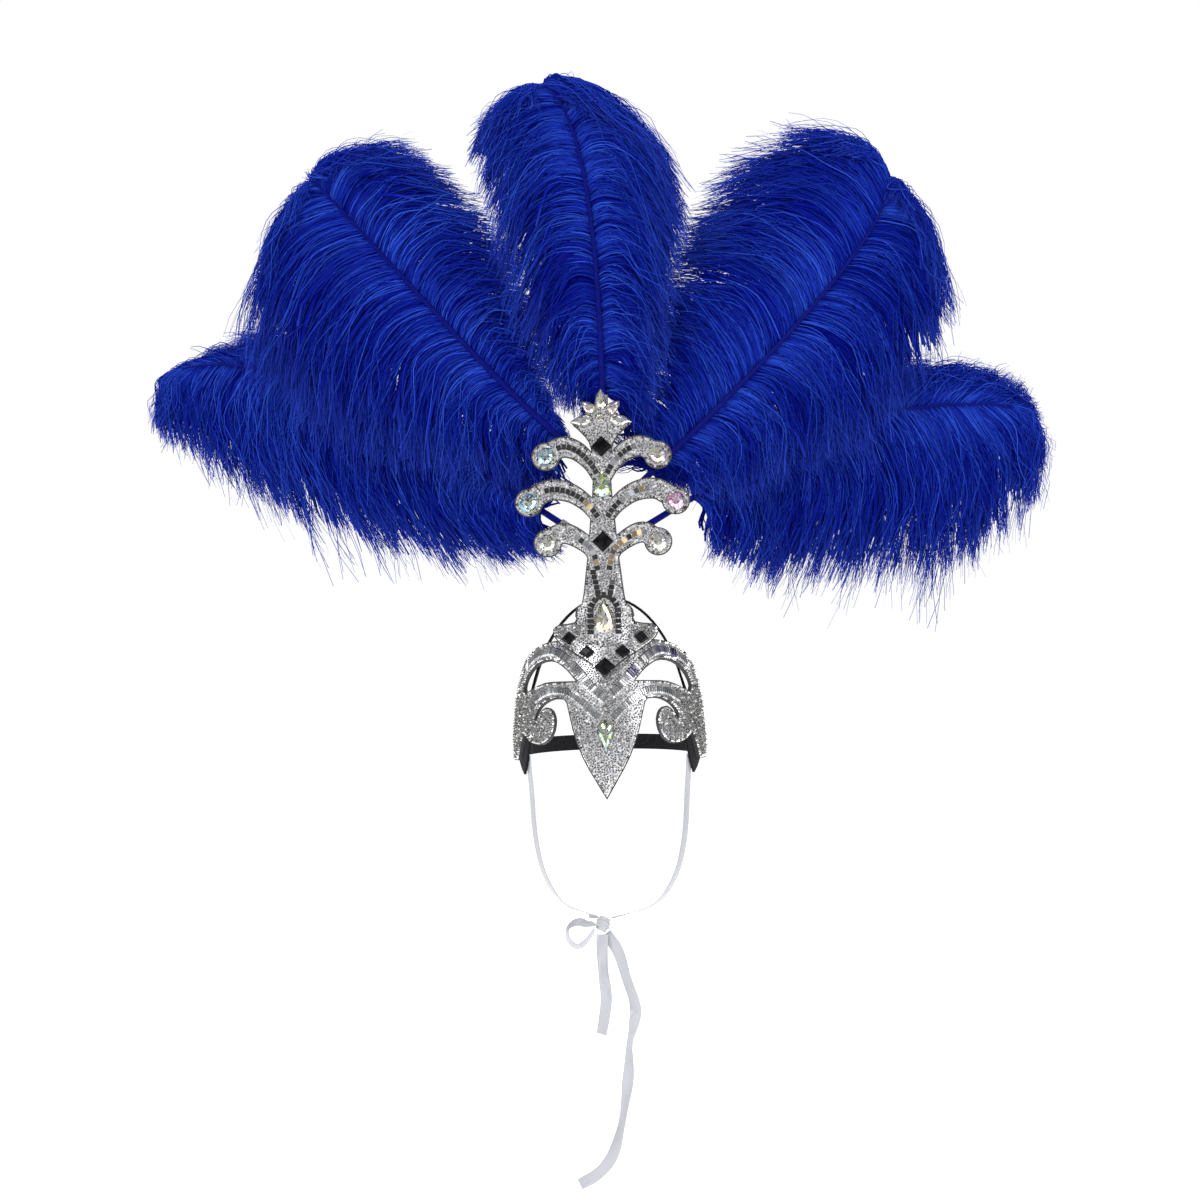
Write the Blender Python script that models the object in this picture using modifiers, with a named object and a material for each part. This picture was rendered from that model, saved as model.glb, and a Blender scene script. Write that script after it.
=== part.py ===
"""Showgirl feather headdress.

A front frame of stiff sheet is bent round the forehead. A tree-shaped plate stands on it and
carries cut stones and, in sleeves behind it, five ostrich plumes. A hoop goes over the head, a
band goes round the back of it, and two ribbons tie under the chin.

The front looks along -Y. Left and right in the names are as seen from the front, so left is at
-X. The origin is the middle of the head opening, at the height of the hair line. Sizes are in
metres and angles in degrees.
"""

import math

import bmesh
import bpy
from mathutils import Matrix, Vector
from mathutils.geometry import delaunay_2d_cdt

# Clearance between neighbouring pieces
CLEAR = 0.0003

# Shape of the head that the frame is bent round
CAP_HALF_WIDTH = 0.084
CAP_HALF_DEPTH = 0.101
CAP_HEIGHT = 0.150
CAP_DEPTH_LOSS = 0.445

# Front frame
FRAME_SHEET = 0.003
FRAME_HEIGHT = 0.139
FRAME_PEAK_DROP = 0.043
PATTERN_RADIUS = 0.092

# Tree-shaped plate
TREE_SHEET = 0.004
TREE_GAP = 0.0005
TREE_FOOT = 0.058
TREE_RISE = 0.226
TREE_HALF_WIDTH = 0.0725
NECK_BEND = (0.084, 0.094)
NECK_HALF_WIDTH = 0.014
SHOULDER_BEND = (0.098, 0.130)
SHOULDER_HALF_WIDTH = 0.022
ARM_ROOT_HALF = 0.0060
ARM_HUMP_HALF = 0.0088
ARM_HUMP_AT = 0.70
LOBE_RADIUS = 0.0118
LOTUS_DISC_RADIUS = 0.0125

# Cut stones
STONE_BASE = 0.0012
STONE_TABLE = 0.42
CROWN_SCALE = 0.76
CROWN_SHARE = 0.73
LOZENGE_TABLE = 0.62
LOZENGE_RISE = 0.0032
ROUND_RADIUS = 0.0078
ROUND_RISE = 0.0052
DROP_RISE = 0.0046
PETAL_RISE = 0.0045
PETAL_WIDTH = 0.0096
PETAL_INNER = 0.0072
BUD_RADIUS = 0.0040

# Hoop over the head, side tabs and back band
TAB_SHEET = 0.002
STRAP_SHEET = 0.002
HOOP_HALF_WIDTH = 0.070
HOOP_HEIGHT = 0.125
HOOP_ANGLE = 74.0
HOOP_WIDTH = 0.018
HOOP_END = 0.004
HOOP_LEAVES_CAP = 0.012
HOOP_FREE_FROM = 0.055
BAND_HEIGHT = 0.014
BAND_TOP = 0.001
BAND_START_ANGLE = 69.0

# Plumes
SLEEVE_LENGTH = 0.034
SLEEVE_WALL = 0.0013
SLEEVE_FLOOR = 0.0015
QUILL_RADIUS = 0.0028
QUILL_TIP_RADIUS = 0.0008
QUILL_SPANS = 18
SETBACK_SHARE = 0.30
VANE_THICKNESS = 0.013
VANE_EDGE = 0.0035
TIP_LEAN = 0.030
VANE_ARCH = 0.006
BARB_LEAVE_ANGLE = 58.0
BARB_BELLY = 0.45

# Ribbon ties
RIBBON_WIDTH = 0.010
RIBBON_THICKNESS = 0.0008
RIBBON_ANGLE = 62.5
RIBBON_TOP = -0.009
RIBBON_TURN = 66.5
RIBBON_GAP = 0.0007
KNOT_HALF = (0.0070, 0.0060, 0.0080)
KNOT_CENTRE = (-0.006, -0.074, -0.149)
JAW_ENTRY = 0.60
BOW_ENTRY = 0.10
BOW_EXIT = -0.55

# Half of the front frame's cut edge, from the peak's tip round to the top.
# Columns: angle round the head, share of the frame's height, 1 where the edge turns a corner.
FRAME_EDGE = (
    (0.0, 0.000, 1),
    (7.0, 0.125, 0),
    (13.8, 0.257, 0),
    (19.5, 0.420, 0),
    (23.8, 0.578, 0),
    (27.5, 0.602, 0),
    (33.4, 0.600, 0),
    (39.4, 0.577, 0),
    (43.8, 0.543, 0),
    (46.6, 0.500, 0),
    (46.2, 0.470, 1),
    (43.6, 0.512, 0),
    (38.6, 0.552, 0),
    (33.6, 0.533, 0),
    (31.2, 0.480, 0),
    (31.8, 0.414, 0),
    (35.0, 0.360, 0),
    (40.4, 0.326, 0),
    (46.5, 0.324, 0),
    (53.0, 0.344, 0),
    (58.6, 0.384, 1),
    (63.0, 0.305, 0),
    (68.0, 0.215, 1),
    (83.0, 0.208, 1),
    (81.8, 0.350, 0),
    (80.0, 0.500, 0),
    (79.0, 0.619, 0),
    (77.0, 0.735, 0),
    (71.5, 0.838, 0),
    (60.0, 0.905, 0),
    (47.0, 0.940, 0),
    (34.0, 0.955, 1),
    (0.0, 0.965, 1),
)

# The window between the two arches of one side, with the same columns.
FRAME_WINDOW = (
    (18.7, 0.711, 1),
    (23.6, 0.760, 0),
    (29.2, 0.799, 0),
    (36.8, 0.828, 0),
    (45.6, 0.827, 0),
    (54.4, 0.796, 0),
    (61.8, 0.730, 0),
    (64.3, 0.664, 0),
    (60.4, 0.628, 1),
    (52.5, 0.660, 0),
    (41.0, 0.699, 0),
    (30.0, 0.708, 0),
)

# One side tab, with the same columns.
TAB_EDGE = (
    (54.0, 0.480, 1),
    (76.5, 0.480, 1),
    (78.0, 0.300, 0),
    (75.0, 0.200, 0),
    (66.5, 0.125, 1),
    (60.5, 0.215, 0),
    (56.0, 0.350, 0),
)

# Half of the trunk. Columns: share of the tree's half width, share of its rise, 1 at a corner.
TRUNK_EDGE = (
    (0.00, 0.000, 1),
    (0.16, 0.050, 0),
    (0.34, 0.088, 0),
    (0.50, 0.124, 0),
    (0.565, 0.150, 1),
    (0.57, 0.172, 0),
    (0.50, 0.196, 0),
    (0.40, 0.200, 0),
    (0.325, 0.207, 1),
    (0.275, 0.250, 0),
    (0.235, 0.310, 0),
    (0.205, 0.390, 0),
    (0.175, 0.470, 0),
    (0.145, 0.580, 0),
    (0.115, 0.680, 0),
    (0.105, 0.780, 0),
    (0.125, 0.850, 0),
    (0.190, 0.890, 0),
    (0.330, 0.935, 1),
    (0.250, 0.962, 0),
    (0.00, 1.000, 1),
)

# Middle line of each arm, from the trunk to the lobe at its end.
# Columns: share of the tree's half width, share of its rise.
TIERS = {
    "low": ((0.07, 0.405), (0.13, 0.473), (0.33, 0.523), (0.49, 0.534), (0.635, 0.500)),
    "middle": ((0.00, 0.566), (0.16, 0.637), (0.38, 0.686), (0.63, 0.694), (0.845, 0.650)),
    "high": ((0.04, 0.743), (0.14, 0.796), (0.30, 0.841), (0.47, 0.852), (0.645, 0.819)),
}

# Black lozenges on the plate.
# Columns: name, share of the half width, share of the rise, half width, half height.
LOZENGES = (
    ("stone_lozenge_peak", 0.0, 0.037, 0.0090, 0.0078),
    ("stone_lozenge_left_inner", -0.190, 0.090, 0.0067, 0.0056),
    ("stone_lozenge_right_inner", 0.190, 0.090, 0.0067, 0.0056),
    ("stone_lozenge_left_outer", -0.385, 0.140, 0.0068, 0.0058),
    ("stone_lozenge_right_outer", 0.385, 0.140, 0.0068, 0.0058),
    ("stone_lozenge_trunk", 0.0, 0.503, 0.0090, 0.0090),
    ("stone_lozenge_top", 0.0, 0.853, 0.0088, 0.0088),
)

# Drop-shaped stones. Columns: name, height in the middle line, half width, half length, which
# end is pointed (1 up, -1 down). The one on the peak lies on the frame, the others on the plate.
DROPS = (
    ("stone_drop_peak", 0.010, 0.0066, 0.0138, -1),
    ("stone_drop_trunk", 0.1095, 0.0078, 0.0142, 1),
    ("stone_drop_middle", 0.220, 0.0068, 0.0110, 1),
)

# Petals of the lotus. Columns: name, direction, length from the middle of the lotus.
LOTUS_CENTRE = 0.956
PETALS = (
    ("lotus_petal_top", 90.0, 0.0245),
    ("lotus_petal_left_upper", 139.0, 0.0215),
    ("lotus_petal_right_upper", 41.0, 0.0215),
    ("lotus_petal_left_lower", 187.0, 0.0265),
    ("lotus_petal_right_lower", -7.0, 0.0265),
)

# Plumes. Columns: root across and up, tip across and up, direction at the sleeve and at the
# tip, how far the quill keeps each direction as a share of its span, setback behind the sleeve.
PLUMES = {
    "centre": (0.002, 0.262, -0.040, 0.548, 91, 145, 0.37, 0.17, 0.000),
    "left_upper": (-0.009, 0.236, -0.237, 0.477, 138, 137, 0.31, 0.12, 0.021),
    "right_upper": (0.009, 0.197, 0.243, 0.467, 45, 89, 0.22, 0.17, 0.021),
    "left_lower": (-0.009, 0.170, -0.357, 0.326, 146, 194, 0.29, 0.28, 0.050),
    "right_lower": (0.009, 0.168, 0.345, 0.280, 31, -7, 0.32, 0.41, 0.050),
}

# Outer form of each plume, a row for each barb that is drawn.
# Columns: share of the quill where the barb starts, then where the barb's tip lies on the left
# and on the right of the quill, as along and across shares of the plume's length.
OUTLINES = {
    "centre": (
        (0.15, 0.13, 0.12, 0.14, 0.15),
        (0.25, 0.28, 0.17, 0.23, 0.20),
        (0.38, 0.40, 0.17, 0.33, 0.25),
        (0.50, 0.52, 0.19, 0.46, 0.29),
        (0.62, 0.62, 0.20, 0.55, 0.32),
        (0.74, 0.74, 0.20, 0.66, 0.34),
        (0.84, 0.85, 0.21, 0.76, 0.35),
        (0.92, 0.92, 0.24, 0.86, 0.30),
        (0.97, 0.99, 0.18, 0.98, 0.18),
        (1.00, 1.01, 0.08, 1.00, 0.04),
    ),
    "left_upper": (
        (0.15, 0.18, 0.08, 0.20, 0.06),
        (0.25, 0.28, 0.20, 0.31, 0.11),
        (0.38, 0.39, 0.32, 0.42, 0.16),
        (0.50, 0.53, 0.41, 0.54, 0.22),
        (0.62, 0.67, 0.44, 0.67, 0.25),
        (0.74, 0.82, 0.41, 0.77, 0.28),
        (0.84, 0.93, 0.33, 0.89, 0.28),
        (0.92, 0.98, 0.21, 0.97, 0.24),
        (0.97, 1.01, 0.09, 1.02, 0.17),
        (1.00, 1.02, 0.00, 1.05, 0.08),
    ),
    "right_upper": (
        (0.15, 0.27, 0.12, 0.20, 0.11),
        (0.25, 0.38, 0.17, 0.27, 0.20),
        (0.38, 0.48, 0.22, 0.39, 0.27),
        (0.50, 0.59, 0.28, 0.52, 0.33),
        (0.62, 0.68, 0.31, 0.66, 0.35),
        (0.74, 0.79, 0.32, 0.80, 0.33),
        (0.84, 0.90, 0.30, 0.91, 0.29),
        (0.92, 0.98, 0.27, 0.97, 0.19),
        (0.97, 1.01, 0.16, 1.01, 0.10),
        (1.00, 1.01, 0.06, 1.01, 0.02),
    ),
    "left_lower": (
        (0.15, 0.09, 0.09, 0.18, 0.08),
        (0.25, 0.13, 0.20, 0.33, 0.10),
        (0.38, 0.21, 0.27, 0.49, 0.13),
        (0.50, 0.35, 0.29, 0.65, 0.13),
        (0.62, 0.48, 0.30, 0.77, 0.13),
        (0.74, 0.64, 0.26, 0.87, 0.14),
        (0.84, 0.77, 0.21, 0.93, 0.14),
        (0.92, 0.88, 0.20, 0.98, 0.09),
        (0.97, 0.97, 0.17, 1.01, 0.04),
        (1.00, 1.03, 0.11, 1.03, 0.00),
    ),
    "right_lower": (
        (0.15, 0.20, 0.13, 0.18, 0.14),
        (0.25, 0.36, 0.17, 0.23, 0.26),
        (0.38, 0.51, 0.19, 0.30, 0.33),
        (0.50, 0.65, 0.20, 0.42, 0.31),
        (0.62, 0.77, 0.21, 0.53, 0.31),
        (0.74, 0.87, 0.20, 0.64, 0.34),
        (0.84, 0.95, 0.16, 0.77, 0.30),
        (0.92, 1.01, 0.11, 0.90, 0.25),
        (0.97, 1.06, 0.07, 1.00, 0.19),
        (1.00, 1.10, 0.02, 1.07, 0.07),
    ),
}

# Routes of the ribbons, chosen by hand, each from where it starts.
# Columns: across, along, up, then where the face looks: turned round from the front, tipped up.
# The route along the jaw fits a frame of this half width, and is widened with it.
JAW_ROUTE_FITS = 0.084
JAW_ROUTE = (
    (0.0662, -0.0430, -0.042, 66, 0),
    (0.0635, -0.0455, -0.079, 64, -6),
    (0.0555, -0.0520, -0.111, 58, -28),
    (0.0390, -0.0610, -0.134, 40, -58),
    (0.0180, -0.0680, -0.1405, 20, -80),
)
BOW_ROUTE = (
    (-0.0190, -0.0780, -0.1480, -35, 50),
    (-0.0275, -0.0800, -0.1465, -50, 35),
    (-0.0350, -0.0815, -0.1510, -75, 5),
    (-0.0352, -0.0820, -0.1600, -60, -30),
    (-0.0280, -0.0810, -0.1670, -20, -55),
    (-0.0200, -0.0790, -0.1625, 30, -55),
)
SHORT_TAIL_ROUTE = (
    (-0.0070, -0.0800, -0.1720, 20, 8),
    (-0.0060, -0.0830, -0.1900, 35, 4),
    (-0.0040, -0.0840, -0.2120, -10, 2),
    (-0.0085, -0.0840, -0.2400, -30, 0),
)
LONG_TAIL_ROUTE = (
    (0.0060, -0.0730, -0.1720, -15, 8),
    (0.0130, -0.0760, -0.1950, -35, 4),
    (0.0200, -0.0790, -0.2170, -20, 0),
    (0.0185, -0.0800, -0.2330, 35, -4),
    (0.0145, -0.0800, -0.2500, 60, 0),
    (0.0135, -0.0800, -0.2720, 25, 0),
    (0.0110, -0.0800, -0.2920, -35, 0),
    (0.0065, -0.0800, -0.3180, -55, 0),
    (-0.0010, -0.0800, -0.3420, -10, 4),
    (-0.0130, -0.0800, -0.3570, 15, 10),
    (-0.0290, -0.0800, -0.3660, 10, 20),
)

# Finishes. Columns: base colour, roughness, metallic.
FINISHES = {
    "silver_glitter_sheet": ((0.62, 0.63, 0.66), 0.35, 0.70),
    "jet_glass": ((0.004, 0.004, 0.005), 0.06, 0.0),
    "mirror_backed_crystal": ((0.86, 0.90, 0.95), 0.04, 0.85),
    "black_felt": ((0.012, 0.012, 0.013), 0.90, 0.0),
    "grey_plastic": ((0.30, 0.31, 0.33), 0.45, 0.0),
    "blue_quill": ((0.004, 0.006, 0.16), 0.38, 0.0),
    "blue_ostrich": ((0.002, 0.008, 0.30), 0.60, 0.0),
    "white_satin": ((0.82, 0.82, 0.83), 0.30, 0.0),
}


def clear_scene():
    for obj in list(bpy.data.objects):
        bpy.data.objects.remove(obj, do_unlink=True)


def finish(name):
    """The material of this name, made the first time it is asked for."""
    material = bpy.data.materials.get(name)
    if material:
        return material
    colour, roughness, metallic = FINISHES[name]
    material = bpy.data.materials.new(name)
    material.use_nodes = True
    shader = material.node_tree.nodes["Principled BSDF"]
    shader.inputs["Base Color"].default_value = (*colour, 1.0)
    shader.inputs["Roughness"].default_value = roughness
    shader.inputs["Metallic"].default_value = metallic
    material.diffuse_color = (*colour, 1.0)
    return material


def link_piece(name, data, material):
    piece = bpy.data.objects.new(name, data)
    data.materials.append(finish(material))
    bpy.data.collections["showgirl_feather_headdress"].objects.link(piece)
    return piece


def mesh_piece(name, bm, material, turn_out=True):
    """An object from a bmesh, with its faces turned outwards unless they are so already."""
    if turn_out:
        bmesh.ops.recalc_face_normals(bm, faces=bm.faces)
    mesh = bpy.data.meshes.new(name)
    bm.to_mesh(mesh)
    bm.free()
    return link_piece(name, mesh, material)


def smoothstep(value, start, end):
    share = min(1.0, max(0.0, (value - start) / (end - start)))
    return share * share * (3 - 2 * share)


def smooth_through(points, steps, closed=False):
    """A Catmull-Rom curve through vectors of any size, with this many steps to each span."""
    count = len(points)
    spans = count if closed else count - 1
    curve = []
    for i in range(spans):
        if closed:
            before, start, end, after = (points[(i + k) % count] for k in (-1, 0, 1, 2))
        else:
            start, end = points[i], points[i + 1]
            before = points[i - 1] if i else start
            after = points[i + 2] if i + 2 < count else end
        for step in range(steps):
            t = step / steps
            curve.append(
                0.5
                * (
                    2 * start
                    + (end - before) * t
                    + (2 * before - 5 * start + 4 * end - after) * t * t
                    + (3 * start - before - 3 * end + after) * t**3
                )
            )
    if not closed:
        curve.append(points[-1].copy())
    return curve


def cut_edge(rows, place, steps=2):
    """Points along a cut edge: smooth between its corners, which stay sharp."""
    corners = [i for i, row in enumerate(rows) if row[2]]
    edge = []
    for here, after in zip(corners, corners[1:]):
        edge += smooth_through([place(*row[:2]) for row in rows[here : after + 1]], steps)[:-1]
    if rows[0][0] == 0 and rows[-1][0] == 0:
        return edge + [place(*rows[-1][:2])]
    last = list(rows[corners[-1] :]) + list(rows[: corners[0] + 1])
    return edge + smooth_through([place(*row[:2]) for row in last], steps)[:-1]


def mirrored(edge):
    """A half edge that starts and ends on the middle line, made whole."""
    return edge + [Vector((-p.x, p.y)) for p in reversed(edge[1:-1])]


def flipped(loop):
    return [Vector((-p.x, p.y)) for p in loop]


def circle(centre, radius, sides):
    turns = (2 * math.pi * i / sides for i in range(sides))
    return [centre + radius * Vector((math.cos(t), math.sin(t))) for t in turns]


def counter_clockwise(loop):
    area = sum(a.cross(b) for a, b in zip(loop, loop[1:] + loop[:1]))
    return loop if area > 0 else loop[::-1]


def bent_sheet(name, cut_out, holes, across, up, place, thickness, material):
    """A flat pattern cut from sheet, then bent.

    cut_out and holes are flat loops, across and up give the lines along which the sheet may
    bend, and place(point, inset) gives a point of the bent sheet.
    """
    loops = [counter_clockwise(loop) for loop in cut_out + holes]
    points = [p for loop in loops for p in loop]
    faces = []
    for loop in loops:
        start = faces[-1][-1] + 1 if faces else 0
        faces.append(list(range(start, start + len(loop))))
    low = Vector((min(p.x for p in points), min(p.y for p in points))) * 1.1
    high = Vector((max(p.x for p in points), max(p.y for p in points))) * 1.1
    lines = [(Vector((x, low.y)), Vector((x, high.y))) for x in across]
    lines += [(Vector((low.x, y)), Vector((high.x, y))) for y in up]
    edges = []
    for line in lines:
        edges.append((len(points), len(points) + 1))
        points += line
    flat, _, triangles, _, _, inside = delaunay_2d_cdt(points, edges, faces, 0, 1e-5)
    kept = []
    for triangle, sources in zip(triangles, inside):
        in_sheet = any(source < len(cut_out) for source in sources)
        in_hole = any(source >= len(cut_out) for source in sources)
        if in_sheet and not in_hole:
            kept.append(triangle)
    bm = bmesh.new()
    used = sorted({corner for triangle in kept for corner in triangle})
    outer = {i: bm.verts.new(place(flat[i], 0.0)) for i in used}
    inner = {i: bm.verts.new(place(flat[i], thickness)) for i in used}
    directed = set()
    for triangle in kept:
        bm.faces.new([outer[i] for i in triangle])
        bm.faces.new([inner[i] for i in reversed(triangle)])
        directed |= set(zip(triangle, list(triangle[1:]) + [triangle[0]]))
    for a, b in directed:
        if (b, a) not in directed:
            bm.faces.new((outer[b], outer[a], inner[a], inner[b]))
    return mesh_piece(name, bm, material)


def cap_width(height):
    return CAP_HALF_WIDTH * math.sqrt(1 - (height / CAP_HEIGHT) ** 2)


def cap_depth(height):
    return CAP_HALF_DEPTH * (1 - CAP_DEPTH_LOSS * (height / CAP_HEIGHT) ** 2)


def surface_point(surface, first, second, inset, reach=1e-4):
    """A point of a surface, moved inwards along its normal."""
    here = surface(first, second)
    along = surface(first + reach, second) - surface(first - reach, second)
    upward = surface(first, second + reach) - surface(first, second - reach)
    return here - along.cross(upward).normalized() * inset


def cap_surface(turn, height):
    """A point of the frame's outer face: turn is in radians from the front."""
    width, depth = cap_width(height), cap_depth(height)
    return Vector((width * math.sin(turn), -depth * math.cos(turn), height))


def on_cap(degrees, height, inset):
    return surface_point(cap_surface, math.radians(degrees), height, inset)


def frame_pattern(degrees, share):
    """The flat place of a table row: angle becomes length round the head."""
    height = share * FRAME_HEIGHT - FRAME_PEAK_DROP
    return Vector((math.radians(degrees) * PATTERN_RADIUS, height))


def bend_on_cap(first_inset):
    def place(flat, inset):
        turn = flat.x / PATTERN_RADIUS
        return surface_point(cap_surface, turn, flat.y, first_inset + inset)

    return place


def tree_surface(across, height):
    """The face that the plate lies on: the frame low down, an upright plane above it."""
    plane = -cap_depth(NECK_BEND[0])
    if height >= SHOULDER_BEND[1]:
        return Vector((across, plane, height))
    curve = -cap_depth(height) * math.sqrt(1 - (across / cap_width(height)) ** 2)
    outer = smoothstep(abs(across), NECK_HALF_WIDTH, SHOULDER_HALF_WIDTH)
    start = NECK_BEND[0] + (SHOULDER_BEND[0] - NECK_BEND[0]) * outer
    end = NECK_BEND[1] + (SHOULDER_BEND[1] - NECK_BEND[1]) * outer
    return Vector((across, curve + (plane - curve) * smoothstep(height, start, end), height))


def on_tree(across, height, inset):
    """A point of the plate: inset 0 is its front face, and its thickness is its back."""
    return surface_point(tree_surface, across, height, inset - TREE_SHEET - TREE_GAP)


def tree_pattern(share_out, share_up):
    return Vector((share_out * TREE_HALF_WIDTH, TREE_FOOT + share_up * TREE_RISE))


def steps_between(start, end, step):
    count = max(1, math.ceil((end - start) / step))
    return [start + (end - start) * i / count for i in range(count + 1)]


def front_frame():
    outline = mirrored(cut_edge(FRAME_EDGE, frame_pattern))
    window = cut_edge(FRAME_WINDOW, frame_pattern)
    low, high = -FRAME_PEAK_DROP, FRAME_HEIGHT - FRAME_PEAK_DROP
    reach = math.pi / 2 * PATTERN_RADIUS
    bent_sheet(
        "front_frame",
        [outline],
        [window, flipped(window)],
        steps_between(-reach, reach, 0.010),
        steps_between(low, high, 0.010),
        bend_on_cap(0.0),
        FRAME_SHEET,
        "silver_glitter_sheet",
    )


def arm_loop(rows, side):
    """The flat outline of one arm, which grows wider from its root to its hump."""
    middle = smooth_through([tree_pattern(*row) for row in rows], 5)
    last = len(middle) - 1
    left, right = [], []
    for i, point in enumerate(middle):
        grown = smoothstep(i / last, 0.0, ARM_HUMP_AT)
        half = ARM_ROOT_HALF + (ARM_HUMP_HALF - ARM_ROOT_HALF) * grown
        along = (middle[min(i + 1, last)] - middle[max(i - 1, 0)]).normalized()
        across = Vector((-along.y, along.x)) * half
        left.append(point + across)
        right.append(point - across)
    loop = left + right[::-1]
    return flipped(loop) if side < 0 else loop


def tree_plate():
    loops = [mirrored(cut_edge(TRUNK_EDGE, tree_pattern))]
    loops.append(circle(tree_pattern(0.0, LOTUS_CENTRE), LOTUS_DISC_RADIUS, 24))
    for rows in TIERS.values():
        for side in (-1, 1):
            loops.append(arm_loop(rows, side))
            lobe = tree_pattern(side * rows[-1][0], rows[-1][1])
            loops.append(circle(lobe, LOBE_RADIUS, 24))
    bent_sheet(
        "tree_plate",
        loops,
        [],
        steps_between(-TREE_HALF_WIDTH, TREE_HALF_WIDTH, 0.008),
        steps_between(TREE_FOOT, SHOULDER_BEND[1], 0.005),
        lambda flat, inset: on_tree(flat.x, flat.y, inset),
        TREE_SHEET,
        "silver_glitter_sheet",
    )


def seat(surface_place, first, second, turn=0.0):
    """The matrix of a stone on a sheet's front face: Z looks out and Y looks up the sheet."""
    step = 1e-3
    here = surface_place(first, second, -CLEAR)
    outward = (surface_place(first, second, -step) - surface_place(first, second, 0.0)).normalized()
    upward = surface_place(first, second + step, 0.0) - surface_place(first, second - step, 0.0)
    side = upward.cross(outward).normalized()
    axes = Matrix((side, outward.cross(side), outward)).transposed().to_4x4()
    return Matrix.Translation(here) @ axes @ Matrix.Rotation(math.radians(turn), 4, "Z")


def lifted(matrix, outline):
    """The stone's matrix, raised where the plate is hollow so that the outline rests on it."""
    outward = matrix.to_3x3() @ Vector((0, 0, 1))
    lift = 0.0
    for start, end in zip(outline, outline[1:] + outline[:1]):
        for step in range(4):
            p = start.lerp(end, step / 4)
            place = matrix @ Vector((p.x, p.y, 0.0))
            lift = max(lift, (on_tree(place.x, place.z, -2 * CLEAR) - place).dot(outward))
    return Matrix.Translation(outward * lift) @ matrix


def cut_stone(name, outline, levels, matrix, material):
    """A cut stone, lofted through copies of its outline. Levels are (scale, height)."""
    bm = bmesh.new()
    rings = []
    for scale, height in levels:
        rings.append([bm.verts.new((p.x * scale, p.y * scale, height)) for p in outline])
    count = len(outline)
    for lower, upper in zip(rings, rings[1:]):
        for i in range(count):
            j = (i + 1) % count
            bm.faces.new((lower[i], lower[j], upper[j], upper[i]))
    bm.faces.new(rings[0][::-1])
    bm.faces.new(rings[-1])
    stone = mesh_piece(name, bm, material)
    stone.matrix_world = matrix
    return stone


def lozenge_outline(half_width, half_height):
    return [
        Vector((half_width, 0)),
        Vector((0, half_height)),
        Vector((-half_width, 0)),
        Vector((0, -half_height)),
    ]


def drop_outline(half_width, half_length, pointed, sides=14, pinch=1.4):
    """A drop: its point is up where pointed is 1, and down where it is -1."""
    turns = [2 * math.pi * i / sides for i in range(sides)]
    widths = [math.sin(turn) * math.sin(turn / 2) ** pinch for turn in turns]
    widest = max(widths)
    outline = []
    for turn, width in zip(turns, widths):
        along = pointed * half_length * math.cos(turn)
        outline.append(Vector((-half_width * width / widest, along)))
    return counter_clockwise(outline)


def domed(rise):
    """Levels of a stone with two rows of facets."""
    return (1.0, 0.0), (1.0, STONE_BASE), (CROWN_SCALE, CROWN_SHARE * rise), (STONE_TABLE, rise)


def lozenge_stones():
    levels = ((1.0, 0.0), (1.0, STONE_BASE), (LOZENGE_TABLE, LOZENGE_RISE))
    for name, out, up, half_width, half_height in LOZENGES:
        place = tree_pattern(out, up)
        outline = lozenge_outline(half_width, half_height)
        matrix = lifted(seat(on_tree, place.x, place.y), outline)
        cut_stone(name, outline, levels, matrix, "jet_glass")


def drop_stones():
    levels = domed(DROP_RISE)
    for name, height, half_width, half_length, pointed in DROPS:
        surface = on_cap if name.endswith("peak") else on_tree
        outline = drop_outline(half_width, half_length, pointed)
        cut_stone(name, outline, levels, seat(surface, 0.0, height), "mirror_backed_crystal")


def lobe_stones():
    levels = domed(ROUND_RISE)
    for tier, rows in TIERS.items():
        for side, word in ((-1, "left"), (1, "right")):
            place = tree_pattern(side * rows[-1][0], rows[-1][1])
            outline = circle(Vector((0, 0)), ROUND_RADIUS, 12)
            name = f"stone_round_{word}_{tier}"
            cut_stone(name, outline, levels, seat(on_tree, place.x, place.y), "mirror_backed_crystal")


def lotus():
    centre = tree_pattern(0.0, LOTUS_CENTRE)
    levels = ((1.0, 0.0), (1.0, STONE_BASE), (STONE_TABLE, PETAL_RISE))
    for name, direction, length in PETALS:
        half = (length - PETAL_INNER) / 2
        middle = PETAL_INNER + half
        matrix = seat(on_tree, centre.x, centre.y, direction - 90)
        matrix = matrix @ Matrix.Translation((0, middle, 0))
        outline = drop_outline(PETAL_WIDTH / 2, half, 1, 12, 0.9)
        cut_stone(name, outline, levels, matrix, "mirror_backed_crystal")
    bud = circle(Vector((0, 0)), BUD_RADIUS, 10)
    cut_stone("lotus_bud", bud, levels, seat(on_tree, centre.x, centre.y), "mirror_backed_crystal")


def strap(name, stations, width_steps, place, thickness, material):
    """A flat strap: place(station, share of the width) gives its middle face."""
    bm = bmesh.new()
    shares = [i / width_steps for i in range(width_steps + 1)]
    rows = [[bm.verts.new(place(station, share)) for share in shares] for station in stations]
    for row, after in zip(rows, rows[1:]):
        for i in range(width_steps):
            bm.faces.new((row[i], row[i + 1], after[i + 1], after[i]))
    piece = mesh_piece(name, bm, material)
    thicken = piece.modifiers.new("thickness", "SOLIDIFY")
    thicken.thickness = thickness
    thicken.offset = 0.0
    thicken.use_even_offset = True
    return piece


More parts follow.
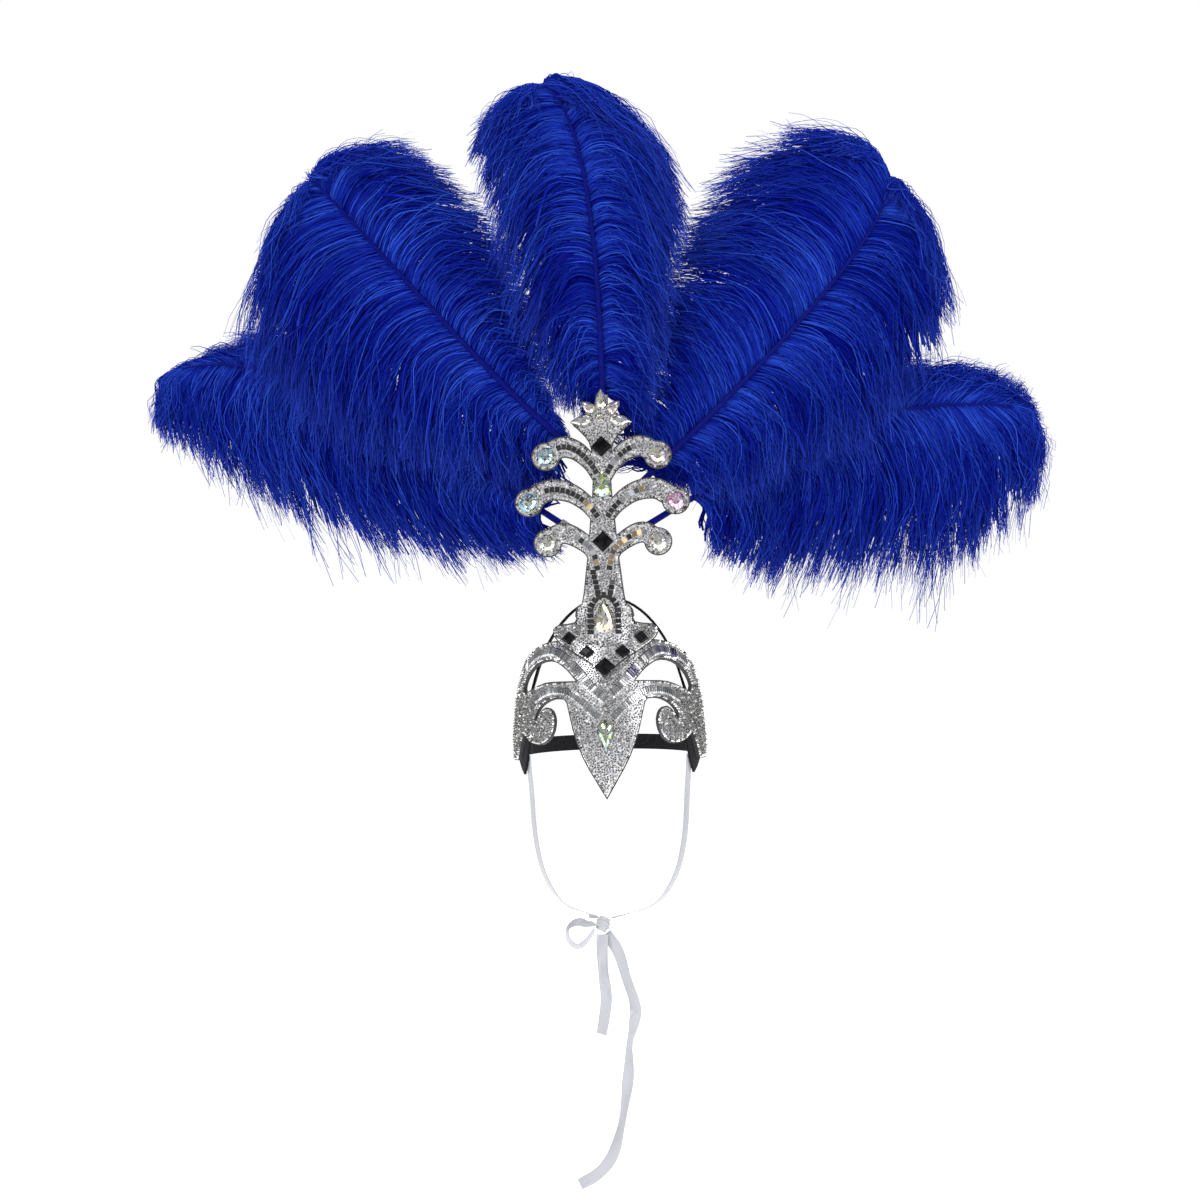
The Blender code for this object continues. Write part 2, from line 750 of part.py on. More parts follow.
def side_tabs():
    for side, word in ((-1, "left"), (1, "right")):
        edge = cut_edge(TAB_EDGE, frame_pattern)
        bent_sheet(
            f"side_tab_{word}",
            [flipped(edge) if side < 0 else edge],
            [],
            steps_between(-math.pi / 2 * PATTERN_RADIUS, math.pi / 2 * PATTERN_RADIUS, 0.008),
            steps_between(-FRAME_PEAK_DROP, FRAME_HEIGHT - FRAME_PEAK_DROP, 0.008),
            bend_on_cap(FRAME_SHEET + CLEAR),
            TAB_SHEET,
            "black_felt",
        )


def strap_inset():
    """How far inside the frame's outer face a strap's middle face lies, behind frame and tab."""
    return FRAME_SHEET + TAB_SHEET + 2 * CLEAR + STRAP_SHEET / 2


def hoop_point(turn, share):
    """A point of the hoop's middle face. Turn goes from -1 at the left end to 1 at the right."""
    side = 1 if turn >= 0 else -1
    start = math.asin(HOOP_END / HOOP_HEIGHT)
    rise = start + (1 - abs(turn)) * (math.pi / 2 - start)
    height = HOOP_HEIGHT * math.sin(rise)
    across = (share - 0.5) * HOOP_WIDTH
    middle = on_cap(HOOP_ANGLE, HOOP_END, strap_inset()).y
    arch = Vector((HOOP_HALF_WIDTH * math.cos(rise), middle + across, height))
    degrees = HOOP_ANGLE + math.degrees(across / CAP_HALF_DEPTH)
    low = on_cap(degrees, min(height, HOOP_FREE_FROM), strap_inset())
    point = low.lerp(arch, smoothstep(height, HOOP_LEAVES_CAP, HOOP_FREE_FROM))
    return Vector((side * point.x, point.y, point.z))


def crown_hoop():
    strap("crown_hoop", steps_between(-1.0, 1.0, 0.056), 2, hoop_point, STRAP_SHEET, "black_felt")


def back_band():
    def place(degrees, share):
        return on_cap(degrees, BAND_TOP - share * BAND_HEIGHT, strap_inset())

    stations = steps_between(BAND_START_ANGLE, 360 - BAND_START_ANGLE, 7.5)
    strap("back_band", stations, 1, place, STRAP_SHEET, "black_felt")


def sleeve_radius():
    return QUILL_RADIUS + CLEAR + SLEEVE_WALL


def sleeve_plane():
    """How far along Y the sleeves' middle lines lie, behind the plate."""
    return on_tree(0.0, SHOULDER_BEND[1], TREE_SHEET).y + CLEAR + sleeve_radius()


def direction(degrees):
    turn = math.radians(degrees)
    return Vector((math.cos(turn), 0.0, math.sin(turn)))


def quill_sleeves():
    for name, row in PLUMES.items():
        across, up, heading = row[0], row[1], row[4]
        inner = QUILL_RADIUS + CLEAR
        outer = sleeve_radius()
        profile = (
            (0.0, SLEEVE_FLOOR),
            (inner, SLEEVE_FLOOR),
            (inner, SLEEVE_LENGTH),
            (outer, SLEEVE_LENGTH),
            (outer, 0.0),
            (0.0, 0.0),
        )
        mesh = bpy.data.meshes.new(f"quill_sleeve_{name}")
        edges = [(i, i + 1) for i in range(len(profile) - 1)]
        mesh.from_pydata([(x, 0.0, z) for x, z in profile], edges, [])
        sleeve = link_piece(f"quill_sleeve_{name}", mesh, "grey_plastic")
        screw = sleeve.modifiers.new("turned", "SCREW")
        screw.steps = 16
        screw.render_steps = 16
        screw.use_merge_vertices = True
        screw.merge_threshold = 0.00001
        sleeve.rotation_euler = (0.0, math.radians(90 - heading), 0.0)
        bottom = Vector((across, sleeve_plane(), up)) - direction(heading) * (SLEEVE_FLOOR + CLEAR)
        sleeve.location = bottom


def quill_point(name, share):
    """A point of the quill's middle line: share 0 is the sleeve's mouth and 1 is the tip."""
    across, up, tip_across, tip_up, heading, tip_heading, keep, tip_keep, setback = PLUMES[name]
    plane = sleeve_plane()
    mouth = Vector((across, plane, up)) + direction(heading) * SLEEVE_LENGTH
    tip = Vector((tip_across, plane, tip_up))
    span = (tip - mouth).length
    first = mouth + direction(heading) * keep * span
    second = tip - direction(tip_heading) * tip_keep * span
    rest = 1 - share
    point = rest**3 * mouth + 3 * rest**2 * share * first + 3 * rest * share**2 * second + share**3 * tip
    point.y += setback * smoothstep(share, 0.0, SETBACK_SHARE) - TIP_LEAN * share**2
    return point


def quill_heading(name, share, reach=0.01):
    ahead = quill_point(name, min(1.0, share + reach))
    return (ahead - quill_point(name, share - reach)).normalized()


def quills():
    for name, row in PLUMES.items():
        root = Vector((row[0], sleeve_plane(), row[1]))
        points = [root] + [quill_point(name, i / QUILL_SPANS) for i in range(QUILL_SPANS + 1)]
        curve = bpy.data.curves.new(f"quill_{name}", "CURVE")
        curve.dimensions = "3D"
        curve.bevel_depth = QUILL_RADIUS
        curve.bevel_resolution = 2
        curve.use_fill_caps = True
        spline = curve.splines.new("POLY")
        spline.points.add(len(points) - 1)
        for i, point in enumerate(points):
            share = max(0, i - 1) / QUILL_SPANS
            spline.points[i].co = (*point, 1.0)
            spline.points[i].radius = 1 + (QUILL_TIP_RADIUS / QUILL_RADIUS - 1) * share
        link_piece(f"quill_{name}", curve, "blue_quill")


def row_at(rows, station):
    """The outline row at this share of the quill, between the rows of the table."""
    for row, after in zip(rows, rows[1:]):
        if station <= after[0]:
            part = (station - row[0]) / (after[0] - row[0])
            return [a + (b - a) * part for a, b in zip(row[1:], after[1:])]
    return list(rows[-1][1:])


def barb_point(name, station, side, share):
    """A point along a barb in the plume's plane. Side is -1 on the quill's left, 1 on its right."""
    across, up, tip_across, tip_up = PLUMES[name][:4]
    root = Vector((across, 0.0, up))
    chord = Vector((tip_across, 0.0, tip_up)) - root
    left_normal = Vector((-chord.z, 0.0, chord.x))
    left_along, left_out, right_along, right_out = row_at(OUTLINES[name], station)
    if side < 0:
        tip = root + chord * left_along + left_normal * left_out
    else:
        tip = root + chord * right_along - left_normal * right_out
    start = quill_point(name, station)
    heading = quill_heading(name, station)
    start.y = 0.0
    heading.y = 0.0
    turn = Matrix.Rotation(math.radians(BARB_LEAVE_ANGLE * side), 3, "Y")
    belly = start + turn @ heading.normalized() * (tip - start).length * BARB_BELLY
    rest = 1 - share
    return rest * rest * start + 2 * rest * share * belly + share * share * tip


def plume(name, stations=15, columns=4):
    """The outer form of a plume: a thick leaf behind its quill that thins towards its edges."""
    rows = OUTLINES[name]
    shares = [i / columns for i in range(columns + 1)]
    across = [(-1, share) for share in reversed(shares)] + [(1, share) for share in shares[1:]]
    bm = bmesh.new()
    front, back = [], []
    for i in range(stations):
        station = rows[0][0] + (rows[-1][0] - rows[0][0]) * i / (stations - 1)
        along = quill_heading(name, station)
        slope = along.y / math.hypot(along.x, along.z)
        face = quill_point(name, station).y + QUILL_RADIUS * math.hypot(1, slope) + CLEAR
        front.append([])
        back.append([])
        for side, share in across:
            point = barb_point(name, station, side, share)
            depth = VANE_THICKNESS + (VANE_EDGE - VANE_THICKNESS) * share
            arched = face + VANE_ARCH * share**2
            front[-1].append(bm.verts.new((point.x, arched, point.z)))
            back[-1].append(bm.verts.new((point.x, arched + depth, point.z)))
    last = len(across) - 1
    for i in range(stations - 1):
        for j in range(last):
            bm.faces.new((front[i][j], front[i][j + 1], front[i + 1][j + 1], front[i + 1][j]))
            bm.faces.new((back[i + 1][j], back[i + 1][j + 1], back[i][j + 1], back[i][j]))
    rim = [(i, 0) for i in range(stations)] + [(stations - 1, j) for j in range(1, last + 1)]
    rim += [(i, last) for i in range(stations - 2, -1, -1)] + [(0, j) for j in range(last - 1, 0, -1)]
    for (i, j), (k, m) in zip(rim, rim[1:] + rim[:1]):
        bm.faces.new((front[i][j], front[k][m], back[k][m], back[i][j]))
    mesh_piece(f"plume_{name}", bm, "blue_ostrich", turn_out=False)


def ribbon(name, rows):
    """A flat ribbon through its route's rows, turned so that its face looks where they say."""
    stations = smooth_through([Vector(row) for row in rows], 4)
    points = [Vector(station[:3]) for station in stations]

    def place(i, share):
        ahead = points[min(i + 1, len(points) - 1)]
        behind = points[max(i - 1, 0)]
        turn, tip = math.radians(stations[i][3]), math.radians(stations[i][4])
        face = Vector((math.sin(turn) * math.cos(tip), -math.cos(turn) * math.cos(tip), math.sin(tip)))
        across = (ahead - behind).cross(face).normalized()
        return points[i] + across * (share - 0.5) * RIBBON_WIDTH

    return strap(name, range(len(points)), 1, place, RIBBON_THICKNESS, "white_satin")


def ribbon_ties():
    knot = Vector(KNOT_CENTRE)
    half = Vector(KNOT_HALF)
    inset = FRAME_SHEET + CLEAR + TAB_SHEET + RIBBON_GAP + RIBBON_THICKNESS / 2
    top = on_cap(RIBBON_ANGLE, RIBBON_TOP, inset)
    lower = on_cap(RIBBON_ANGLE, RIBBON_TOP - 0.010, inset)
    for side, word in ((-1, "left"), (1, "right")):
        wider = CAP_HALF_WIDTH / JAW_ROUTE_FITS
        route = [(x * wider, *others) for x, *others in JAW_ROUTE]
        rows = [(*top, RIBBON_TURN, 0), (*lower, RIBBON_TURN, 0), *route]
        rows = [(side * x, y, z, side * turn, tip) for x, y, z, turn, tip in rows]
        end_height = knot.z + half.z * JAW_ENTRY
        rows.append((knot.x + side * (half.x + CLEAR), knot.y + 0.002, end_height, 0, -88))
        ribbon(f"ribbon_jaw_{word}", rows)
    beside = knot.x - half.x - CLEAR
    start = (beside, knot.y - 0.001, knot.z + half.z * BOW_ENTRY, -25, 62)
    end = (beside, knot.y - 0.001, knot.z + half.z * BOW_EXIT, 25, -62)
    ribbon("ribbon_bow", [start, *BOW_ROUTE, end])
    below = knot.z - half.z - CLEAR
    ribbon("ribbon_tail_short", [(knot.x - 0.001, knot.y - 0.002, below, 0, 10), *SHORT_TAIL_ROUTE])
    ribbon("ribbon_tail_long", [(knot.x + 0.002, knot.y + 0.002, below, 0, 10), *LONG_TAIL_ROUTE])
    bm = bmesh.new()
    bmesh.ops.create_icosphere(bm, subdivisions=2, radius=1.0)
    bmesh.ops.scale(bm, vec=half, verts=bm.verts)
    piece = mesh_piece("ribbon_knot", bm, "white_satin")
    piece.location = knot


def build():
    clear_scene()
    collection = bpy.data.collections.new("showgirl_feather_headdress")
    bpy.context.scene.collection.children.link(collection)
    front_frame()
    tree_plate()
    lozenge_stones()
    drop_stones()
    lobe_stones()
    lotus()
    side_tabs()
    crown_hoop()
    back_band()
    quill_sleeves()
    quills()
    for name in PLUMES:
        plume(name)
    ribbon_ties()


build()
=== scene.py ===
"""Looks of the showgirl feather headdress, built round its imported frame.

Lengths are in metres, angles in degrees unless a name says radians. Left and right are as seen
from the front.
"""

import math

import bmesh
import bpy
import numpy as np
from bpy.props import FloatProperty, FloatVectorProperty, IntProperty, PointerProperty
from bpy.types import Operator, Panel, PropertyGroup
from mathutils import Matrix, Vector
from mathutils.bvhtree import BVHTree
from mathutils.geometry import convex_hull_2d
from mathutils.kdtree import KDTree


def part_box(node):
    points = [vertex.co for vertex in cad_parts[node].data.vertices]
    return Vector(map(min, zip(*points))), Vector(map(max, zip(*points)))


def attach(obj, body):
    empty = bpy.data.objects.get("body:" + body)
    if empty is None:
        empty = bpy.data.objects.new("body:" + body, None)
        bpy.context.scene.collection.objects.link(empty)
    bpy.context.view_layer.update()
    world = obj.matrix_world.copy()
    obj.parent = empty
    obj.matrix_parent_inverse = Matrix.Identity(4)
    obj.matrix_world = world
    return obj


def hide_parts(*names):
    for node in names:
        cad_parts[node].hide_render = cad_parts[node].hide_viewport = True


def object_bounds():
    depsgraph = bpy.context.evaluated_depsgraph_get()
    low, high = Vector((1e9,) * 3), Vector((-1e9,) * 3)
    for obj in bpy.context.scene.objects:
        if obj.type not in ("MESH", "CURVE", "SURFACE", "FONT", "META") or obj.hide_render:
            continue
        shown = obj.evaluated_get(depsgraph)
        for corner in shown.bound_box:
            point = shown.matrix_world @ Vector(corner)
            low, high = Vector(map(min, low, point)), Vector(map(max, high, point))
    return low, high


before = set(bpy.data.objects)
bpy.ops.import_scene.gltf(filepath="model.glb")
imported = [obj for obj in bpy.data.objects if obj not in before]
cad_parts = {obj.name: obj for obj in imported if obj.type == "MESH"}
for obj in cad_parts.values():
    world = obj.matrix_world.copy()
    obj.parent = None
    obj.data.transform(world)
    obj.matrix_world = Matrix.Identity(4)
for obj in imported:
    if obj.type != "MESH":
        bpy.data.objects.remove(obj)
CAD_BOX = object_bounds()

bl_info = {
    "name": "Showgirl feather headdress",
    "version": (1, 0, 0),
    "blender": (4, 5, 0),
    "location": "3D View > Sidebar > Headdress",
    "description": "Stones, plumes, felt and ribbons of a showgirl feather headdress",
    "category": "Object",
}

BODY = "root"
HEAD_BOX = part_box("front_frame")
PLATE_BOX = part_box("tree_plate")
SLEEVE_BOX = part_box("quill_sleeve_centre")
MERGE_DISTANCE = 1e-6
PLUME_NAMES = ("centre", "left_upper", "right_upper", "left_lower", "right_lower")

# Camera, as fitted to the photograph of 1200 by 1200 pixels
CAMERA_PLACE = (0.0753, -2.0483, 0.123)
CAMERA_TURN = 2.3
CAMERA_ROLL = -0.98
CAMERA_LENS = 70.59
SENSOR_WIDTH = 36.0

WHITE = (1.0, 1.0, 1.0, 1.0)
UPWARD = Vector((0, 0, 1))
FRONT = Vector((0, -1, 0))
NEIGHBOURS = [(i, j, k) for i in (-1, 0, 1) for j in (-1, 0, 1) for k in (-1, 0, 1)]
STONE_SOCKETS = (
    ("Geometry", "INPUT", "Geometry"),
    ("Sides", "INPUT", "Int"),
    ("Table", "INPUT", "Float"),
    ("First Turn", "INPUT", "Float"),
    ("Finish", "INPUT", "Material"),
    ("Geometry", "OUTPUT", "Geometry"),
)

# Steps of a smooth curve between two points, spacing along the sheets' edges, and the fewest
# points of an edge
CURVE_STEPS = 16
RIM_SPACING = 0.0005
SHORTEST_LOOP = 8

# The frame's and the plate's sizes that the tables below are shares of
FRAME_TOP_SHARE = 0.965
OUTSIDE = 0.2
PLATE_HALF_WIDTH = 0.0725
PLATE_RISE = 0.226

# Room that each kind of stone needs, as shares of its width: free round its middle, kept from
# later stones, and clear of the cut crystals and of the sheet's edge.
ROOMS = {
    "rim": (0.42, 0.45, 0.30, 0.0),
    "ring": (0.35, 0.45, 0.0, 0.0),
    "tile": (0.35, 0.62, 0.30, 0.0),
    "end": (0.40, 0.50, 0.0, 0.50),
    "paving": (0.47, 0.47, 0.45, 0.50),
}

# Shares of stones painted dark and painted bright, as painted reflections, and how far stones are tilted, in
# degrees
BEAD_PAINTED_REFLECTIONS = (0.08, 0.66)
END_PAINTED_REFLECTIONS = (0.1, 0.5)
PAVING_PAINTED_REFLECTIONS = (0.16, 0.12)
BEAD_TILT = 10
RING_TILT = 8
TILE_TILT = 5
BAR_TILT = 4
PAVING_TILT = 26

# Sizes of the small stones. Steps and insets are shares of a stone's width.
BEAD_STEP = 1.04
BEAD_INSET = 0.80
RING_BEAD = 0.0016
RING_DROP = 0.010
RING_RIM = 0.0002
END_BEAD = 0.0017
TILE_RISE = 0.0009
BAR_RISE = 0.0011
DARK_BAR = (0.10, 0.09, 0.16)
SHORT_ROOM = 0.0012
SHORT_SHARE = 0.7
PAVING_STEP = 0.30

# The cut of a crystal. Levels: scale, share of the rise, whether the corners are shifted.
FACET_WIDTH = 0.0026
CUT_LEVELS = ((1.0, 0.0, 0), (1.0, 0.26, 0), (0.80, 0.66, 1), (0.46, 0.97, 0))
# Painted reflections: white, mid grey and near black, painted on some facets. Shares are for the first and
# second coat colour and for these three greys.
FACET_REFLECTION_GREYS = ((0.92, 0.93, 0.95), (0.55, 0.56, 0.58), (0.10, 0.10, 0.11))
FACET_SHARES = (0.30, 0.24, 0.22, 0.14, 0.10)

KNOT_FOLD = 0.0042
KNOT_DEPTH = 0.0016

# Lines along the front frame's bands, for the stones set across them.
# Columns: angle round the head, share of the frame's height.
UPPER_BAND = (
    (0.0, 0.600),
    (8.0, 0.672),
    (16.0, 0.755),
    (25.0, 0.832),
    (36.0, 0.886),
    (46.0, 0.884),
    (57.0, 0.850),
    (66.0, 0.785),
    (71.0, 0.690),
)
LOWER_BAND = (
    (2.5, 0.470),
    (10.0, 0.548),
    (17.0, 0.607),
    (24.0, 0.646),
    (32.0, 0.655),
    (40.0, 0.640),
    (48.0, 0.598),
)

# Bands of baguettes: line, share of a baguette's length, and which are dark on the right side
BANDS = ((UPPER_BAND, 1.0, (14, 15, 16, 17)), (LOWER_BAND, 0.82, ()))

# Middle line of each arm of the plate, from the trunk to the lobe.
# Columns: share of the plate's half width, share of its rise.
TIERS = {
    "low": ((0.07, 0.405), (0.13, 0.473), (0.33, 0.523), (0.49, 0.534), (0.635, 0.500)),
    "middle": ((0.00, 0.566), (0.16, 0.637), (0.38, 0.686), (0.63, 0.694), (0.845, 0.650)),
    "high": ((0.04, 0.743), (0.14, 0.796), (0.30, 0.841), (0.47, 0.852), (0.645, 0.819)),
}

# Tiles along each arm, from the trunk outwards: d dark mirror, g gold, c clear, s a space.
ARM_TILES = {
    ("left", "low"): "dgdcccdc",
    ("right", "low"): "dggdgggdggc",
    ("left", "middle"): "ssddggdddddddd",
    ("right", "middle"): "ssddddcccdgc",
    ("left", "high"): "sdddddddddd",
    ("right", "high"): "sddccdddc",
}

# Tiles down the trunk. Columns: share of the half width at the top and the bottom, share of the
# rise at the top and the bottom, tiles.
TRUNK_TILES = (
    (-0.125, -0.038, 0.400, 0.268, "ddddddd"),
    (0.105, 0.045, 0.362, 0.268, "ddddd"),
)

# The arch of tiles over the trunk's drop stone
ARCH_HALF_WIDTH = 0.0130
ARCH_RISE = 0.0215
ARCH_DROP = 0.004
ARCH_TURNS = (-0.14, 1.14)

TILE_COLOURS = {
    "d": (0.085, 0.080, 0.076),
    "g": (0.80, 0.60, 0.33),
    "c": (0.62, 0.64, 0.66),
}

# Colours of the crystals' coat, painted facet by facet together with painted reflections. Columns: node,
# first colour, second colour.
CRYSTAL_TINTS = (
    ("stone_round_left_low", (0.78, 0.76, 0.52), (0.50, 0.55, 0.50)),
    ("stone_round_right_low", (0.75, 0.72, 0.55), (0.80, 0.66, 0.60)),
    ("stone_round_left_middle", (0.12, 0.52, 0.85), (0.74, 0.78, 0.45)),
    ("stone_round_right_middle", (0.90, 0.25, 0.50), (0.85, 0.55, 0.75)),
    ("stone_round_left_high", (0.28, 0.62, 0.72), (0.60, 0.66, 0.58)),
    ("stone_round_right_high", (0.88, 0.50, 0.72), (0.75, 0.80, 0.40)),
    ("stone_drop_middle", (0.62, 0.72, 0.16), (0.25, 0.62, 0.72)),
    ("stone_drop_trunk", (0.72, 0.72, 0.30), (0.62, 0.45, 0.42)),
    ("stone_drop_peak", (0.46, 0.55, 0.16), (0.42, 0.68, 0.58)),
    ("lotus_petal_top", (0.80, 0.80, 0.42), (0.62, 0.60, 0.55)),
    ("lotus_petal_left_upper", (0.66, 0.62, 0.50), (0.80, 0.72, 0.62)),
    ("lotus_petal_right_upper", (0.85, 0.50, 0.48), (0.70, 0.70, 0.55)),
    ("lotus_petal_left_lower", (0.70, 0.68, 0.62), (0.55, 0.52, 0.50)),
    ("lotus_petal_right_lower", (0.72, 0.66, 0.60), (0.60, 0.60, 0.58)),
    ("lotus_bud", (0.80, 0.74, 0.55), (0.70, 0.62, 0.60)),
)

# Quills, as in the frame's source. Columns: root across and up, tip across and up, direction at
# the sleeve and at the tip, how far the quill keeps each as a share of its span, setback. The last
# column is the share of the quill that is bare at its root.
PLUMES = {
    "centre": (0.002, 0.262, -0.040, 0.548, 91, 145, 0.37, 0.17, 0.000, 0.00),
    "left_upper": (-0.009, 0.236, -0.237, 0.477, 138, 137, 0.31, 0.12, 0.021, 0.00),
    "right_upper": (0.009, 0.197, 0.243, 0.467, 45, 89, 0.22, 0.17, 0.021, 0.05),
    "left_lower": (-0.009, 0.170, -0.357, 0.326, 146, 194, 0.29, 0.28, 0.050, 0.06),
    "right_lower": (0.009, 0.168, 0.345, 0.280, 31, -7, 0.32, 0.41, 0.050, 0.14),
}
SLEEVE_LENGTH = 0.034
SETBACK_SHARE = 0.30
TIP_LEAN = 0.030
QUILL_RADIUS = 0.0028

# Where barbs end that start at these shares of the quill. Rows: along and across on the left of
# the quill, along and across on its right, as shares of the plume's length.
STATIONS = (0.00, 0.06, 0.15, 0.25, 0.38, 0.50, 0.62, 0.74, 0.84, 0.92, 0.97, 1.00)
OUTLINES = {
    "centre": (
        (0.03, 0.07, 0.12, 0.25, 0.39, 0.52, 0.62, 0.74, 0.85, 0.90, 0.95, 0.96),
        (0.03, 0.06, 0.12, 0.17, 0.19, 0.20, 0.21, 0.22, 0.23, 0.25, 0.18, 0.06),
        (-0.06, 0.02, 0.13, 0.23, 0.33, 0.46, 0.55, 0.64, 0.74, 0.82, 0.90, 0.95),
        (0.12, 0.16, 0.19, 0.22, 0.26, 0.30, 0.33, 0.34, 0.33, 0.28, 0.18, 0.07),
    ),
    "left_upper": (
        (-0.02, 0.03, 0.13, 0.26, 0.39, 0.53, 0.67, 0.82, 0.93, 0.98, 1.00, 1.01),
        (0.08, 0.14, 0.18, 0.26, 0.34, 0.41, 0.44, 0.41, 0.33, 0.20, 0.09, -0.02),
        (0.09, 0.15, 0.23, 0.32, 0.41, 0.53, 0.66, 0.77, 0.85, 0.93, 0.98, 0.99),
        (0.02, 0.03, 0.07, 0.14, 0.22, 0.27, 0.28, 0.29, 0.27, 0.24, 0.16, 0.07),
    ),
    "right_upper": (
        (0.02, 0.12, 0.25, 0.37, 0.47, 0.58, 0.66, 0.74, 0.83, 0.92, 0.99, 1.00),
        (0.07, 0.12, 0.18, 0.24, 0.29, 0.33, 0.34, 0.34, 0.34, 0.31, 0.26, 0.15),
        (0.10, 0.13, 0.18, 0.26, 0.39, 0.52, 0.66, 0.80, 0.89, 0.94, 0.98, 0.98),
        (0.03, 0.07, 0.14, 0.22, 0.28, 0.33, 0.35, 0.33, 0.29, 0.22, 0.12, 0.04),
    ),
    "left_lower": (
        (0.04, 0.06, 0.11, 0.18, 0.28, 0.44, 0.59, 0.72, 0.83, 0.91, 0.97, 1.01),
        (0.02, 0.04, 0.07, 0.10, 0.15, 0.17, 0.19, 0.18, 0.17, 0.16, 0.16, 0.14),
        (0.02, 0.10, 0.20, 0.33, 0.53, 0.75, 0.91, 0.98, 1.00, 1.02, 1.02, 1.01),
        (0.07, 0.12, 0.14, 0.14, 0.16, 0.17, 0.16, 0.07, 0.01, -0.04, -0.09, -0.13),
    ),
    "right_lower": (
        (0.02, 0.09, 0.20, 0.36, 0.51, 0.74, 0.85, 0.96, 1.03, 1.06, 1.06, 1.04),
        (0.07, 0.12, 0.15, 0.18, 0.19, 0.20, 0.19, 0.15, 0.09, 0.03, -0.03, -0.09),
        (0.11, 0.16, 0.21, 0.27, 0.35, 0.46, 0.58, 0.71, 0.84, 0.94, 1.00, 1.04),
        (-0.01, 0.01, 0.09, 0.14, 0.18, 0.21, 0.25, 0.28, 0.27, 0.25, 0.19, 0.12),
    ),
}

# Layers of barbs in each plume. Columns: name, share of the barbs, steps along a barb, width at
# the root, share of that width at the tip, barbs to a lock, how far a lock pulls its barbs
# together, shortest and longest reach, depth of the layer behind the quill's face at the quill and
# at the tips, brightness, share of the full curl. The brightness is painted shade and light: the
# layers further behind are painted darker, those in front lighter.
BARB_LAYERS = (
    ("down", 0.30, 7, 0.0036, 0.45, 4, 0.40, 0.60, 0.94, 0.0060, 0.0090, 0.18, 0.8),
    ("vane", 0.52, 9, 0.0010, 0.40, 26, 1.00, 0.88, 1.06, 0.0030, 0.0040, 0.42, 1.0),
    ("curl", 0.20, 11, 0.0007, 0.45, 14, 1.00, 0.80, 1.10, 0.0004, -0.0030, 0.60, 2.0),
    ("wisp", 0.04, 12, 0.0010, 0.40, 14, 1.00, 1.02, 1.18, 0.0030, 0.0030, 0.50, 2.0),
)


def colour_setting(name, description, default):
    return FloatVectorProperty(name=name, description=description, subtype="COLOR", default=default)


def length_setting(name, description, default):
    return FloatProperty(name=name, description=description, unit="LENGTH", default=default)


def number_setting(name, description, default):
    return FloatProperty(name=name, description=description, default=default)


def count_setting(name, description, default):
    return IntProperty(name=name, description=description, default=default, min=0)


class SheetSettings(PropertyGroup):
    silver: colour_setting("Glitter", "Colour of the glitter sheet under the stones", (0.50, 0.50, 0.52))
    edge: colour_setting("Cut edge", "Colour of the sheet's dark core where it is cut", (0.018, 0.018, 0.020))
    rim: length_setting("Bare rim", "Width of the dark line left bare along the edges", 0.0010)


class StoneSettings(PropertyGroup):
    bead: length_setting("Rim bead", "Width of the beads along the edges", 0.0023)
    rhinestone: length_setting("Rhinestone", "Width of the small stones that pave the sheets", 0.0019)
    baguette_length: length_setting(
        "Baguette length",
        "Length of the thin stones set across the bands",
        0.0088,
    )
    baguette_width: length_setting("Baguette width", "Width of the thin stones set across the bands", 0.0019)
    tile: length_setting("Mirror tile", "Side of the square tiles along the arms", 0.0043)
    seed: count_setting("Seed", "Seed of the stones' tints and tilts", 11)


class PlumeSettings(PropertyGroup):
    barbs: count_setting("Barbs", "Barbs in each plume", 7000)
    droop: number_setting("Droop", "How far the barbs' ends hang, as a share of their length", 0.12)
    curl: length_setting("Curl", "How far the barbs' ends wave from side to side", 0.0040)
    # Deep blue is the dye of the darker barbs, and where painted shade takes the layers behind; bright blue
    # is a painted highlight on the barbs that seem to catch the light.
    deep: colour_setting("Deep blue", "Colour of the barbs in the depth of a plume", (0.0003, 0.0036, 0.185))
    bright: colour_setting("Bright blue", "Colour of the barbs that catch the light", (0.018, 0.060, 0.44))
    seed: count_setting("Seed", "Seed of the barbs' places", 5)


class TrimSettings(PropertyGroup):
    felt: colour_setting("Felt", "Colour of the hoop, tabs and band", (0.005, 0.005, 0.0055))
    # The ribbons are white satin; this mid grey is painted shade, so that they show against the white.
    satin: colour_setting("Satin", "Colour of the ribbons", (0.40, 0.40, 0.43))


class StageSettings(PropertyGroup):
    floor: colour_setting("Floor", "Colour of the floor", (0.90, 0.90, 0.90))
    glow: number_setting(
        "Floor glow",
        "How much the floor shines by itself, so that it blends into the background",
        0.56,
    )
    lights: number_setting("Lights", "Strength of the studio lights", 1.0)


def put(socket, value):
    """Gives a socket its value, or links another node's socket to it."""
    if isinstance(value, bpy.types.NodeSocket):
        socket.id_data.links.new(value, socket)
    else:
        socket.default_value = value


def fill(node, **inputs):
    """Fills a node's sockets. An underscore in a name stands for a space."""
    for key, value in inputs.items():
        put(node.inputs[key.replace("_", " ")], value)


def add_node(tree, kind, settings=None, **inputs):
    """A new node. Settings are its own properties, and inputs are what its sockets take."""
    made = tree.nodes.new(kind)
    for key, value in (settings or {}).items():
        setattr(made, key, value)
    fill(made, **inputs)
    return made


def new_material(name, colour, roughness, **shine):
    """A material, its tree and its shader, with the values that are the same all over."""
    made = bpy.data.materials.new(name)
    made.use_nodes = True
    made.diffuse_color = (*colour, 1.0)
    shader = made.node_tree.nodes["Principled BSDF"]
    fill(shader, Base_Color=(*colour, 1.0), Roughness=roughness, **shine)
    return made, made.node_tree, shader


